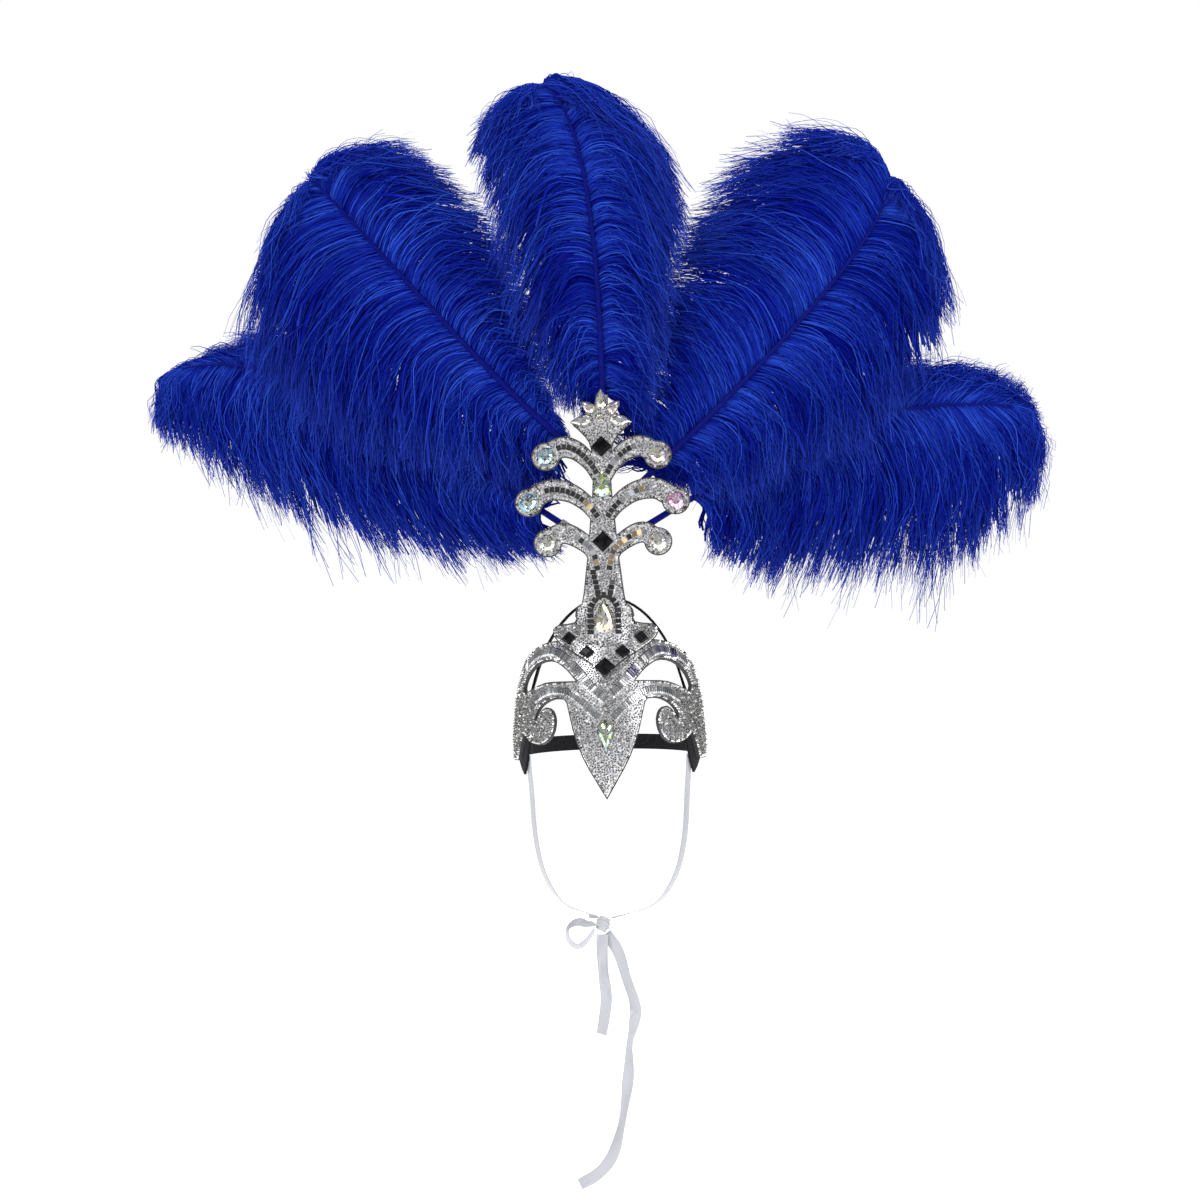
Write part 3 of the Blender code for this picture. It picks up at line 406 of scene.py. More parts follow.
def ramp(tree, factor, *stops):
    """A colour ramp. Stops are (place, colour)."""
    made = add_node(tree, "ShaderNodeValToRGB", Fac=factor)
    elements = made.color_ramp.elements
    while len(elements) < len(stops):
        elements.new(0.5)
    for element, (place, colour) in zip(elements, stops):
        element.position = place
        element.color = (*colour, 1.0)
    return made.outputs["Color"]


def texture(tree, kind, **inputs):
    """A texture laid in the piece's own space."""
    place = tree.nodes.new("ShaderNodeTexCoord").outputs["Object"]
    return add_node(tree, f"ShaderNodeTex{kind}", Vector=place, **inputs)


def attribute(tree, name):
    return add_node(tree, "ShaderNodeAttribute", {"attribute_name": name})


def mixed(tree, kind, factor, first, second):
    """Two colours mixed. Its sockets share names, so they are filled by number."""
    made = add_node(tree, "ShaderNodeMix", {"data_type": "RGBA", "blend_type": kind})
    for at, value in ((0, factor), (6, first), (7, second)):
        put(made.inputs[at], value)
    return made.outputs[2]


def scaled(colour, share):
    return [min(1.0, share * c) for c in colour]


def noise(scale, detail, **others):
    return "Noise", "Fac", {"Scale": scale, "Detail": detail, **others}


def patterned(name, colour, roughness, pattern, stops, press=None, **shine):
    """A material whose colour follows a texture. A pattern is the texture's kind, its output and
    its values, and press is the strength and depth of the bump that the same texture gives."""
    made, tree, shader = new_material(name, colour, roughness, **shine)
    kind, output, values = pattern
    shades = texture(tree, kind, **values).outputs[output]
    fill(shader, Base_Color=ramp(tree, shades, *stops))
    if press:
        strength, depth = press
        bump = add_node(tree, "ShaderNodeBump", Strength=strength, Distance=depth, Height=shades)
        fill(shader, Normal=bump.outputs["Normal"])
    return made


def glitter_finish(colour):
    """Silver glitter: flakes that each tilt their own way in the bump, with painted sparkle: each flake is
    painted darker or brighter, as if it caught the light.
    """
    flakes = ("Voronoi", "Color", {"Scale": 1500.0})
    # Painted sparkle: each flake painted from a quarter to 1.7 times the glitter's colour.
    stops = ((0.0, scaled(colour, 0.25)), (0.5, colour), (1.0, scaled(colour, 1.7)))
    return patterned("silver_glitter", colour, 0.32, flakes, stops, (0.5, 0.0004), Metallic=0.85)


def cut_edge_finish(colour):
    """The dark foam core of the sheet, where it is cut."""
    stops = ((0.35, colour), (0.75, scaled(colour, 3.2)))
    return patterned("cut_foam_edge", colour, 0.75, noise(900.0, 3.0), stops, (0.4, 0.0003))


def jet_finish():
    """Polished black glass, with a slow wave in its surface."""
    colour = (0.004, 0.004, 0.005)
    stops = ((0.35, (0.003, 0.003, 0.004)), (0.75, (0.012, 0.012, 0.014)))
    waves = noise(160.0, 1.0)
    return patterned("jet_glass", colour, 0.07, waves, stops, (0.15, 0.0004), Specular_IOR_Level=0.05)


def felt_finish(colour):
    """Felt: short fibres that scatter the light."""
    fibres = noise(620.0, 6.0, Roughness=0.75)
    stops = ((0.35, scaled(colour, 0.5)), (0.72, scaled(colour, 3.5)))
    shine = {"Specular_IOR_Level": 0.1, "Sheen_Weight": 0.05, "Sheen_Roughness": 0.5}
    return patterned("black_felt", colour, 0.95, fibres, stops, (0.6, 0.0005), **shine)


def plastic_finish():
    """Grey plastic with faint scuffs."""
    stops = ((0.3, (0.14, 0.14, 0.155)), (0.7, (0.27, 0.27, 0.29)))
    colour = (0.20, 0.20, 0.22)
    return patterned("grey_plastic", colour, 0.42, noise(240.0, 4.0), stops, (0.2, 0.0002))


def quill_finish(deep):
    """Dyed quill, with fine streaks along it."""
    streaks = noise(300.0, 3.0)
    stops = ((0.3, scaled(deep, 0.4)), (0.75, scaled(deep, 0.8)))
    return patterned("blue_quill", deep, 0.6, streaks, stops, (0.2, 0.0002), Specular_IOR_Level=0.06)


def satin_finish(colour):
    """Satin: fine threads along the ribbon, with a soft shine across them."""
    threads = ("Wave", "Fac", {"Scale": 900.0, "Distortion": 0.6})
    stops = ((0.0, scaled(colour, 0.90)), (1.0, colour))
    shine = {"Sheen_Weight": 0.35, "Sheen_Roughness": 0.25}
    return patterned("white_satin", colour, 0.30, threads, stops, (0.12, 0.0001), **shine)


def floor_finish(colour, glow):
    """Pale paint that shines a little by itself."""
    stops = ((0.3, colour), (0.7, scaled(colour, 1.03)))
    shine = {"Emission_Color": WHITE, "Emission_Strength": glow}
    return patterned("pale_floor", colour, 0.8, noise(6.0, 4.0), stops, **shine)


def stone_finish(name, roughness, metallic, coat):
    """Foiled glass: each facet shows its own tint, which on the crystals, beads and rhinestones holds a
    painted reflection, with a fine unevenness of the foil.
    """
    shine = {"Metallic": metallic, "Coat_Weight": coat, "Coat_Roughness": 0.03}
    made, tree, shader = new_material(name, (0.7, 0.7, 0.7), roughness, **shine)
    foil = texture(tree, "Noise", Scale=700.0, Detail=2.0).outputs["Fac"]
    shade = ramp(tree, foil, (0.30, (0.72, 0.72, 0.74)), (0.70, (1.0, 1.0, 1.0)))
    tint = attribute(tree, "tint").outputs["Color"]
    fill(shader, Base_Color=mixed(tree, "MULTIPLY", 1.0, tint, shade))
    return made


def ostrich_finish(deep, bright):
    """Dyed barbs, each with its own brightness: partly its own tone at random, partly painted shade on the
    layers behind, painted light on those in front and painted glints; they pale a little towards their ends.
    """
    made, tree, shader = new_material("blue_ostrich", deep, 0.6, Specular_IOR_Level=0.03)
    middle = [0.15 * b + 0.85 * d for b, d in zip(bright, deep)]
    stops = ((0.0, scaled(deep, 0.6)), (0.30, deep), (0.62, middle), (1.0, bright))
    shade = ramp(tree, attribute(tree, "shade").outputs["Fac"], *stops)
    along = attribute(tree, "along").outputs["Fac"]
    ends = add_node(tree, "ShaderNodeMapRange", Value=along, From_Min=0.80, From_Max=1.0, To_Max=0.30)
    pale = [0.85 * c + 0.015 for c in bright]
    fill(shader, Base_Color=mixed(tree, "MIX", ends.outputs["Result"], shade, (*pale, 1.0)))
    return made


def merged_node(name):
    """A bmesh copy of a node's mesh, with its loose triangles joined."""
    bm = bmesh.new()
    bm.from_mesh(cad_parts[name].data)
    bmesh.ops.remove_doubles(bm, verts=bm.verts, dist=MERGE_DISTANCE)
    bm.normal_update()
    return bm


def mesh_of(bm, name):
    """The mesh of a bmesh, which is freed."""
    mesh = bpy.data.meshes.new(name)
    bm.to_mesh(mesh)
    bm.free()
    return mesh


def linked(name, data):
    """A new object in the scene."""
    made = bpy.data.objects.new(name, data)
    bpy.context.scene.collection.objects.link(made)
    return made


def store(mesh, label, kind, field, values):
    """Values kept at a mesh's points."""
    made = mesh.attributes.new(label, kind, "POINT")
    made.data.foreach_set(field, np.asarray(values, np.float32).ravel())


def placed_mesh(name, mesh, finish, slot_name, *replaced):
    """A finished piece at the origin, riding on the frame."""
    piece = linked(name, mesh)
    if finish is not None:
        mesh.materials.clear()
        mesh.materials.append(finish)
    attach(piece, BODY)
    if replaced:
        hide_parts(*replaced)
    return piece


def average(vectors):
    return sum(vectors, Vector()) / len(vectors)


def even_points(points, spacing, closed):
    """Points at even spacing along a line of points."""
    line = points + [points[0]] if closed else points
    reached = [0.0]
    for a, b in zip(line, line[1:]):
        reached.append(reached[-1] + (b - a).length)
    count = max(1, round(reached[-1] / spacing))
    found, at = [], 0
    for i in range(count if closed else count + 1):
        wanted = reached[-1] * i / count
        while at < len(line) - 2 and reached[at + 1] < wanted:
            at += 1
        span = max(1e-9, reached[at + 1] - reached[at])
        found.append(line[at].lerp(line[at + 1], (wanted - reached[at]) / span))
    return found


def smooth_line(points, spacing):
    """Points at even spacing along a smooth curve through a few points."""
    points = [Vector(p) for p in points]
    dense = []
    for i in range(len(points) - 1):
        start, end = points[i], points[i + 1]
        before = points[i - 1] if i else 2 * start - end
        after = points[i + 2] if i + 2 < len(points) else 2 * end - start
        for step in range(CURVE_STEPS):
            t = step / CURVE_STEPS
            turn = 2 * before - 5 * start + 4 * end - after
            bend = 3 * start - before - 3 * end + after
            dense.append(0.5 * (2 * start + (end - before) * t + turn * t * t + bend * t**3))
    dense.append(points[-1])
    return even_points(dense, spacing, False)


def faces_out(face, outward):
    """Whether a face belongs to a sheet's front."""
    return face.normal.dot(outward(face.calc_center_median())) > 0.5


class Sheet:
    """The front of a bent sheet: where its stones may lie, and the lines of its edges."""

    def __init__(self, node, outward):
        bm = merged_node(node)
        front = [f for f in bm.faces if faces_out(f, outward)]
        corners = [v.co.copy() for v in bm.verts]
        faces = [[v.index for v in f.verts] for f in front]
        self.tree = BVHTree.FromPolygons(corners, faces)
        self.rims = self.rim_loops(bm, set(front))
        samples = [p for loop in self.rims for p in even_points(loop, RIM_SPACING, True)]
        self.rim_tree = KDTree(len(samples))
        for i, p in enumerate(samples):
            self.rim_tree.insert(p, i)
        self.rim_tree.balance()
        bm.free()

    @staticmethod
    def rim_loops(bm, front):
        """The closed lines where the front meets the cut edge."""
        links = {}
        for edge in bm.edges:
            if sum(f in front for f in edge.link_faces) == 1:
                a, b = edge.verts
                links.setdefault(a, []).append(b)
                links.setdefault(b, []).append(a)
        loops, seen = [], set()
        for start in links:
            if start in seen:
                continue
            loop, here, before = [], start, None
            while here not in seen:
                seen.add(here)
                loop.append(here.co.copy())
                ahead = [v for v in links[here] if v is not before and v not in seen]
                if not ahead:
                    break
                here, before = ahead[0], here
            if len(loop) > SHORTEST_LOOP:
                loops.append(loop)
        return loops

    def touch(self, origin, heading):
        """The place and normal where a line meets the sheet's front, or None."""
        place, normal, _, _ = self.tree.ray_cast(origin, heading)
        return (place, normal) if place is not None else None

    def drop_on(self, point):
        """The nearest place of the sheet's front to a point, and the normal there."""
        place, normal, _, _ = self.tree.find_nearest(point)
        return place, normal

    def rim_distance(self, point):
        return self.rim_tree.find(point)[2]

    def row_along(self, points):
        """Each place on the sheet below a line of points, with the way along the line."""
        found = [self.drop_on(p) for p in points]
        for i, (place, normal) in enumerate(found):
            before = found[max(0, i - 1)][0]
            ahead = found[min(len(found) - 1, i + 1)][0]
            yield place, normal, (ahead - before).normalized()


def head_outward(point):
    """The way out from the middle of the head, level."""
    low, high = HEAD_BOX
    return Vector((point.x / high.x**2, point.y / low.y**2, 0.0)).normalized()


def plate_outward(point):
    return FRONT


class Taken:
    """What already lies on the sheets, as points with a radius each."""

    CELL = 0.004

    def __init__(self):
        self.cells = {}

    def key(self, point):
        return tuple(math.floor(c / self.CELL) for c in point)

    def add(self, point, radius):
        self.cells.setdefault(self.key(point), []).append((point.copy(), radius))

    def free(self, point, radius):
        x, y, z = self.key(point)
        for i, j, k in NEIGHBOURS:
            for other, reach in self.cells.get((x + i, y + j, z + k), ()):
                if (other - point).length_squared < (reach + radius) ** 2:
                    return False
        return True


class Setting:
    """A group of like stones: where each lies, how it is turned, its size and its tint."""

    def __init__(self):
        self.places, self.turns, self.sizes, self.tints = [], [], [], []

    def add(self, place, normal, along, size, tint):
        normal = normal.normalized()
        side = along - normal * along.dot(normal)
        side = side.normalized() if side.length > 1e-9 else normal.orthogonal().normalized()
        axes = Matrix((side, normal.cross(side), normal)).transposed()
        self.places.append(place)
        self.turns.append(axes.to_euler())
        self.sizes.append(size)
        self.tints.append(tint)


def stone_tree():
    """Geometry Nodes that set one cut stone on each point of a mesh."""
    tree = bpy.data.node_groups.new("set_stones", "GeometryNodeTree")
    for name, way, kind in STONE_SOCKETS:
        tree.interface.new_socket(name=name, in_out=way, socket_type=f"NodeSocket{kind}")
    given = tree.nodes.new("NodeGroupInput").outputs
    stone = add_node(
        tree,
        "GeometryNodeMeshCone",
        Vertices=given["Sides"],
        Radius_Top=given["Table"],
        Radius_Bottom=1.0,
        Depth=1.0,
    ).outputs["Mesh"]
    turn = add_node(tree, "ShaderNodeCombineXYZ", Z=given["First Turn"]).outputs["Vector"]
    turned = add_node(tree, "GeometryNodeTransform", Geometry=stone, Rotation=turn)
    turns, sizes = (
        add_node(tree, "GeometryNodeInputNamedAttribute", {"data_type": "FLOAT_VECTOR"}, Name=name)
        for name in ("turn", "size")
    )
    stones = add_node(
        tree,
        "GeometryNodeInstanceOnPoints",
        Points=given["Geometry"],
        Instance=turned.outputs["Geometry"],
        Rotation=turns.outputs["Attribute"],
        Scale=sizes.outputs["Attribute"],
    ).outputs["Instances"]
    real = add_node(tree, "GeometryNodeRealizeInstances", Geometry=stones).outputs["Geometry"]
    flat = add_node(tree, "GeometryNodeSetShadeSmooth", Geometry=real, Shade_Smooth=False)
    flat = flat.outputs["Geometry"]
    done = add_node(tree, "GeometryNodeSetMaterial", Geometry=flat, Material=given["Finish"])
    add_node(tree, "NodeGroupOutput", Geometry=done.outputs["Geometry"])
    return tree


def set_stones(name, setting, sides, table, finish):
    """A piece of stones. A size is (length, width, rise); four sides make a bar or a tile."""
    square = sides == 4
    spread = 1 / math.sqrt(2) if square else 0.5
    mesh = bpy.data.meshes.new(name)
    mesh.from_pydata([tuple(p) for p in setting.places], [], [])
    sizes = np.array(setting.sizes, np.float32) * (spread, spread, 1.0)
    tints = [(*tint, 1.0) for tint in setting.tints]
    store(mesh, "turn", "FLOAT_VECTOR", "vector", [tuple(t) for t in setting.turns])
    store(mesh, "size", "FLOAT_VECTOR", "vector", sizes)
    store(mesh, "tint", "FLOAT_COLOR", "color", tints)
    carrier = linked(name, mesh)
    modifier = carrier.modifiers.new("stones", "NODES")
    modifier.node_group = bpy.data.node_groups.get("set_stones") or stone_tree()
    first_turn = math.pi / 4 if square else 0.0
    values = {"Sides": sides, "Table": table, "First Turn": first_turn, "Finish": finish}
    for item in modifier.node_group.interface.items_tree:
        if item.in_out == "INPUT" and item.name in values:
            modifier[item.identifier] = values[item.name]
    evaluated = carrier.evaluated_get(bpy.context.evaluated_depsgraph_get())
    plain = bpy.data.meshes.new_from_object(evaluated)
    bpy.data.objects.remove(carrier)
    for label in ("turn", "size"):
        if label in plain.attributes:
            plain.attributes.remove(plain.attributes[label])
    return placed_mesh(name, plain, None, "mirror_backed_crystal")


def silver(rng, dark, bright):
    """The grey painted on one small foiled stone as a painted reflection: some dark, most mid, some bright.
    """
    # Painted reflection: dark, mid or bright grey, chosen at random for each stone.
    pick = rng.random()
    if pick < dark:
        value = rng.uniform(0.04, 0.15)
    elif pick > 1 - bright:
        value = rng.uniform(0.78, 1.0)
    else:
        value = rng.uniform(0.15, 0.30)
    warm = rng.uniform(0.0, 0.12)
    return (value * (1 + 0.4 * warm), value, value * (1 - warm))


def tilted(normal, rng, most):
    """A normal turned aside by up to this many degrees, as hand-set stones are."""
    aside = Vector(rng.normal(size=3)) * math.tan(math.radians(most)) * 0.5
    return (normal + aside).normalized()


def head_ray(turn, height):
    """A start outside the head and the heading to its middle line, at this height."""
    low, high = HEAD_BOX
    start = Vector((2 * high.x * math.sin(turn), 2 * low.y * math.cos(turn), height))
    return start, (Vector((0, 0, height)) - start).normalized()


def head_point(sheet, degrees, share):
    """The frame's place at an angle round the head and a share of its height."""
    low, high = HEAD_BOX
    turn = math.radians(degrees)
    height = low.z + share * (high.z - low.z) / FRAME_TOP_SHARE
    outside = Vector((OUTSIDE * math.sin(turn), -OUTSIDE * math.cos(turn), height))
    return sheet.touch(*head_ray(turn, height)) or sheet.drop_on(outside)


def plate_touch(sheet, x, z):
    """The plate's place seen straight from the front."""
    return sheet.touch(Vector((x, PLATE_BOX[0].y - 0.05, z)), -FRONT)


def plate_point(sheet, out, up):
    """The plate's place at shares of its half width and its rise."""
    return plate_touch(sheet, out * PLATE_HALF_WIDTH, PLATE_BOX[0].z + up * PLATE_RISE)


def stones_of_node(name):
    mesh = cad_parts[name].data
    corners = [v.co.copy() for v in mesh.vertices]
    return BVHTree.FromPolygons(corners, [list(p.vertices) for p in mesh.polygons])


class Jewels:
    """The two sheets and all that is set on them."""

    def __init__(self, settings):
        self.rng = np.random.default_rng(settings.seed)
        self.settings = settings
        self.head = Sheet("front_frame", head_outward)
        self.plate = Sheet("tree_plate", plate_outward)
        self.taken = Taken()
        names = [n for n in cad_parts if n.startswith(("stone_", "lotus_"))]
        self.cut_stones = {n: stones_of_node(n) for n in names}

    def clear_of_cut_stones(self, point, reach):
        return all(tree.find_nearest(point, reach)[0] is None for tree in self.cut_stones.values())

    def under_plate(self, point, reach):
        return self.plate.tree.find_nearest(point, reach)[0] is not None

    def claim(self, kind, sheet, place, size):
        """Takes a place for a stone, unless something lies too near, and says whether it did."""
        room, kept, crystal_room, rim_room = (share * size for share in ROOMS[kind])
        if not self.taken.free(place, room):
            return False
        if rim_room and sheet.rim_distance(place) < rim_room:
            return False
        if crystal_room and not self.clear_of_cut_stones(place, crystal_room):
            return False
        self.taken.add(place, kept)
        return True

    def beads_on_rims(self, setting):
        size = self.settings.bead
        inset = BEAD_INSET * size
        for sheet in (self.head, self.plate):
            for loop in sheet.rims:
                points = even_points(loop, BEAD_STEP * size, True)
                for i, point in enumerate(points):
                    along = points[(i + 1) % len(points)] - points[i - 1]
                    place, normal = sheet.drop_on(point)
                    inward = normal.cross(along).normalized()
                    for way in (inward, -inward):
                        near, normal_near = sheet.drop_on(place + way * inset)
                        if sheet.rim_distance(near) > 0.6 * inset:
                            break
                    else:
                        continue
                    if sheet is self.head and self.under_plate(near, 0.006):
                        continue
                    if not self.claim("rim", sheet, near, size):
                        continue
                    normal_near = tilted(normal_near, self.rng, BEAD_TILT)
                    shine = silver(self.rng, *BEAD_PAINTED_REFLECTIONS)
                    setting.add(near, normal_near, along, (size, size, 0.55 * size), shine)

    def beads_round_stones(self, setting):
        """A row of small beads round each cut stone."""
        size = RING_BEAD
        for name in self.cut_stones:
            sheet = self.head if name == "stone_drop_peak" else self.plate
            corners = [v.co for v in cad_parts[name].data.vertices]
            middle = average(corners)
            _, normal = sheet.drop_on(middle)
            side = normal.cross(UPWARD).normalized()
            up = side.cross(normal)
            if up.z < 0:
                up = -up
            for p in even_points(hull_line(corners, middle, side, up), 1.02 * size, True):
                if p.length < 1e-6:
                    continue
                grown = p * (1 + (0.55 * size) / p.length)
                target = middle + side * grown.x + up * grown.y
                place, here = sheet.drop_on(target - normal * 0.002)
                if (place - target).length > RING_DROP or sheet.rim_distance(place) < RING_RIM:
                    continue
                if self.claim("ring", sheet, place, size):
                    here = tilted(here, self.rng, RING_TILT)
                    shine = silver(self.rng, *BEAD_PAINTED_REFLECTIONS)
                    setting.add(place, here, side, (size, size, 0.6 * size), shine)

    def set_tile(self, setting, place, normal, along, kind, side):
        if kind == "s" or not self.claim("tile", self.plate, place, side):
            return
        light = self.rng.uniform(0.7, 1.3)
        normal = tilted(normal, self.rng, TILE_TILT)
        size = (0.92 * side, 1.12 * side, TILE_RISE)
        setting.add(place, normal, along, size, [c * light for c in TILE_COLOURS[kind]])

    def tiles(self, setting):
        side = self.settings.tile
        for (word, tier), kinds in ARM_TILES.items():
            way = -1 if word == "left" else 1
            touched = [plate_point(self.plate, way * out, up) for out, up in TIERS[tier]]
            points = smooth_line([found[0] for found in touched if found], 1.06 * side)
            for kind, row in zip(kinds, self.plate.row_along(points)):
                self.set_tile(setting, *row, kind, side)
        for top_out, low_out, top_up, low_up, kinds in TRUNK_TILES:
            for i, kind in enumerate(kinds):
                share = (i + 0.5) / len(kinds)
                out = top_out + (low_out - top_out) * share
                found = plate_point(self.plate, out, top_up + (low_up - top_up) * share)
                if found:
                    self.set_tile(setting, *found, UPWARD, kind, side)
        self.arch_tiles(setting, side)

    def arch_tiles(self, setting, side):
        """The arch over the trunk's drop stone."""
        low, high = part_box("stone_drop_trunk")
        middle = (low + high) / 2
        arch = []
        for turn in np.linspace(*ARCH_TURNS, 60) * math.pi:
            x, z = ARCH_HALF_WIDTH * math.cos(turn), ARCH_RISE * math.sin(turn)
            arch.append(Vector((middle.x + x, low.y, middle.z - ARCH_DROP + z)))
        for place, normal, along in self.plate.row_along(even_points(arch, 1.04 * side, False)):
            self.taken.add(place, ROOMS["tile"][1] * side)
            light = self.rng.uniform(0.7, 1.5)
            colour = [c * light for c in TILE_COLOURS["d"]]
            setting.add(place, normal, along, (0.92 * side, 1.25 * side, TILE_RISE), colour)

    def baguettes(self, setting, beads):
        """Thin stones set across the frame's bands, with a row of beads on each side."""
        width = self.settings.baguette_width
        for band, share_of_length, darks in BANDS:
            full = self.settings.baguette_length * share_of_length
            for way in (-1, 1):
                line = [head_point(self.head, way * turn, share)[0] for turn, share in band]
                points = smooth_line(line, 1.16 * width)
                for i, (place, normal, along) in enumerate(self.head.row_along(points)):
                    across = normal.cross(along).normalized()
                    if self.under_plate(place, 0.0045):
                        continue
                    ends = (place + across * full * 0.5, place - across * full * 0.5)
                    short = min(self.head.rim_distance(end) for end in ends) < SHORT_ROOM
                    reach = full * SHORT_SHARE if short else full
                    samples = [place + across * reach * s for s in (-0.4, -0.2, 0.0, 0.2, 0.4)]
                    if not all(self.taken.free(p, 0.2 * width) for p in samples):
                        continue
                    if not self.clear_of_cut_stones(place, 0.45 * reach):
                        continue
                    for p in samples:
                        self.taken.add(p, 0.6 * width)
                    dark = way > 0 and i % 24 in darks
                    colour = DARK_BAR if dark else [self.rng.uniform(0.42, 0.85)] * 3
                    normal = tilted(normal, self.rng, BAR_TILT)
                    setting.add(place, normal, across, (reach, width, BAR_RISE), colour)
                    for end in (-1, 1):
                        aside = across * end * (reach / 2 + 0.6 * END_BEAD)
                        self.end_bead(beads, place + aside, along)

    def end_bead(self, beads, place, along):
        size = END_BEAD
        near, normal = self.head.drop_on(place)
        if self.claim("end", self.head, near, size):
            shine = silver(self.rng, *END_PAINTED_REFLECTIONS)
            beads.add(near, normal, along, (size, size, 0.6 * size), shine)

    def pave(self, setting):
        """Small stones over all that is left of the two sheets."""
        step = PAVING_STEP * self.settings.rhinestone
        low, high = HEAD_BOX
        radius = max(high.x, -low.y)
        for z in np.arange(low.z, high.z, step * 1.5):
            for turn in np.arange(-1.5, 1.5, step / radius):
                height = z + self.rng.uniform(-1.5, 1.5) * step
                touched = self.head.touch(*head_ray(turn, height))
                if touched and not self.under_plate(touched[0], 0.0042):
                    self.pave_one(setting, self.head, *touched)
        low, high = PLATE_BOX
        for z in np.arange(low.z, high.z, step * 1.5):
            for x in np.arange(low.x, high.x, step):
                height = z + self.rng.uniform(-1.5, 1.5) * step
                touched = plate_touch(self.plate, x, height)
                if touched:
                    self.pave_one(setting, self.plate, *touched)

    def pave_one(self, setting, sheet, place, normal):
        size = self.settings.rhinestone
        if not self.claim("paving", sheet, place, size):
            return
        width = size * self.rng.uniform(0.90, 1.04)
        rise = 0.45 * size * self.rng.uniform(0.7, 1.3)
        along = Vector(self.rng.normal(size=3))
        normal = tilted(normal, self.rng, PAVING_TILT)
        setting.add(place, normal, along, (width, width, rise), silver(self.rng, *PAVING_PAINTED_REFLECTIONS))


class HEADDRESS_OT_sheets(Operator):
    """Glitter sheets: the front frame and the tree-shaped plate, dark where they are cut"""

    bl_idname = "headdress.sheets"
    bl_label = "Glitter sheets"

    def execute(self, context):
        settings = context.scene.headdress_sheets
        finishes = (glitter_finish(settings.silver), cut_edge_finish(settings.edge))
        for node, outward in (("front_frame", head_outward), ("tree_plate", plate_outward)):
            bm = merged_node(node)
            front = [face for face in bm.faces if faces_out(face, outward)]
            for face in bm.faces:
                face.material_index = 1
            for face in front:
                face.material_index = 0
            rim = bmesh.ops.inset_region(
                bm, faces=front, thickness=settings.rim, use_even_offset=True
            )
            for face in rim["faces"]:
                face.material_index = 1
            mesh = mesh_of(bm, node + "_sheet")
            for finish in finishes:
                mesh.materials.append(finish)
            mesh.shade_smooth()
            mesh.set_sharp_from_angle(angle=math.radians(40))
            placed_mesh(node + "_sheet", mesh, None, "silver_glitter_sheet", node)
        return {"FINISHED"}


class HEADDRESS_OT_small_stones(Operator):
    """Small stones: beads along the edges, baguettes, mirror tiles and rhinestones"""

    bl_idname = "headdress.small_stones"
    bl_label = "Small stones"

    def execute(self, context):
        jewels = Jewels(context.scene.headdress_stones)
        beads, bars, tiles, paving = Setting(), Setting(), Setting(), Setting()
        jewels.beads_on_rims(beads)
        jewels.beads_round_stones(beads)
        jewels.tiles(tiles)
        jewels.baguettes(bars, beads)
        jewels.pave(paving)
        foiled = stone_finish("foiled_baguette", 0.16, 0.9, 0.3)
        small = stone_finish("foiled_rhinestone", 0.30, 0.7, 0.1)
        mirror = stone_finish("mirror_tile", 0.06, 0.85, 0.6)
        set_stones("edge_beads", beads, 7, 0.42, foiled)
        set_stones("baguettes", bars, 4, 0.62, foiled)
        set_stones("mirror_tiles", tiles, 4, 0.92, mirror)
        set_stones("rhinestones", paving, 6, 0.50, small)
        return {"FINISHED"}


def hull_line(corners, middle, side, up):
    """The outline of some corners, flattened to a plane: points with nothing in z."""
    flat = [Vector(((c - middle).dot(side), (c - middle).dot(up))) for c in corners]
    return [Vector((*flat[i], 0)) for i in convex_hull_2d(flat)]


def base_ring(name):
    """A cut stone's outline, the middle of its base, its axes (side, up and out) and its rise."""
    bm = merged_node(name)
    areas = {}
    for face in bm.faces:
        key = tuple(round(c, 2) for c in face.normal)
        areas[key] = areas.get(key, 0.0) + face.calc_area()
    backs = [key for key in areas if key[1] > 0.3]
    out = -Vector(max(backs, key=areas.get)).normalized()
    middle = average([v.co for v in bm.verts])
    heights = [(v.co - middle).dot(out) for v in bm.verts]
    floor, top = min(heights), max(heights)
    side = out.cross(UPWARD).normalized()
    up = out.cross(side).normalized()
    if up.z < 0:
        up, side = -up, -side
    low = [v.co for v, h in zip(bm.verts, heights) if h < floor + 0.0003]
    ring = hull_line(low, middle, side, up)
    bm.free()
    return ring, middle + out * floor, side, up, out, top - floor


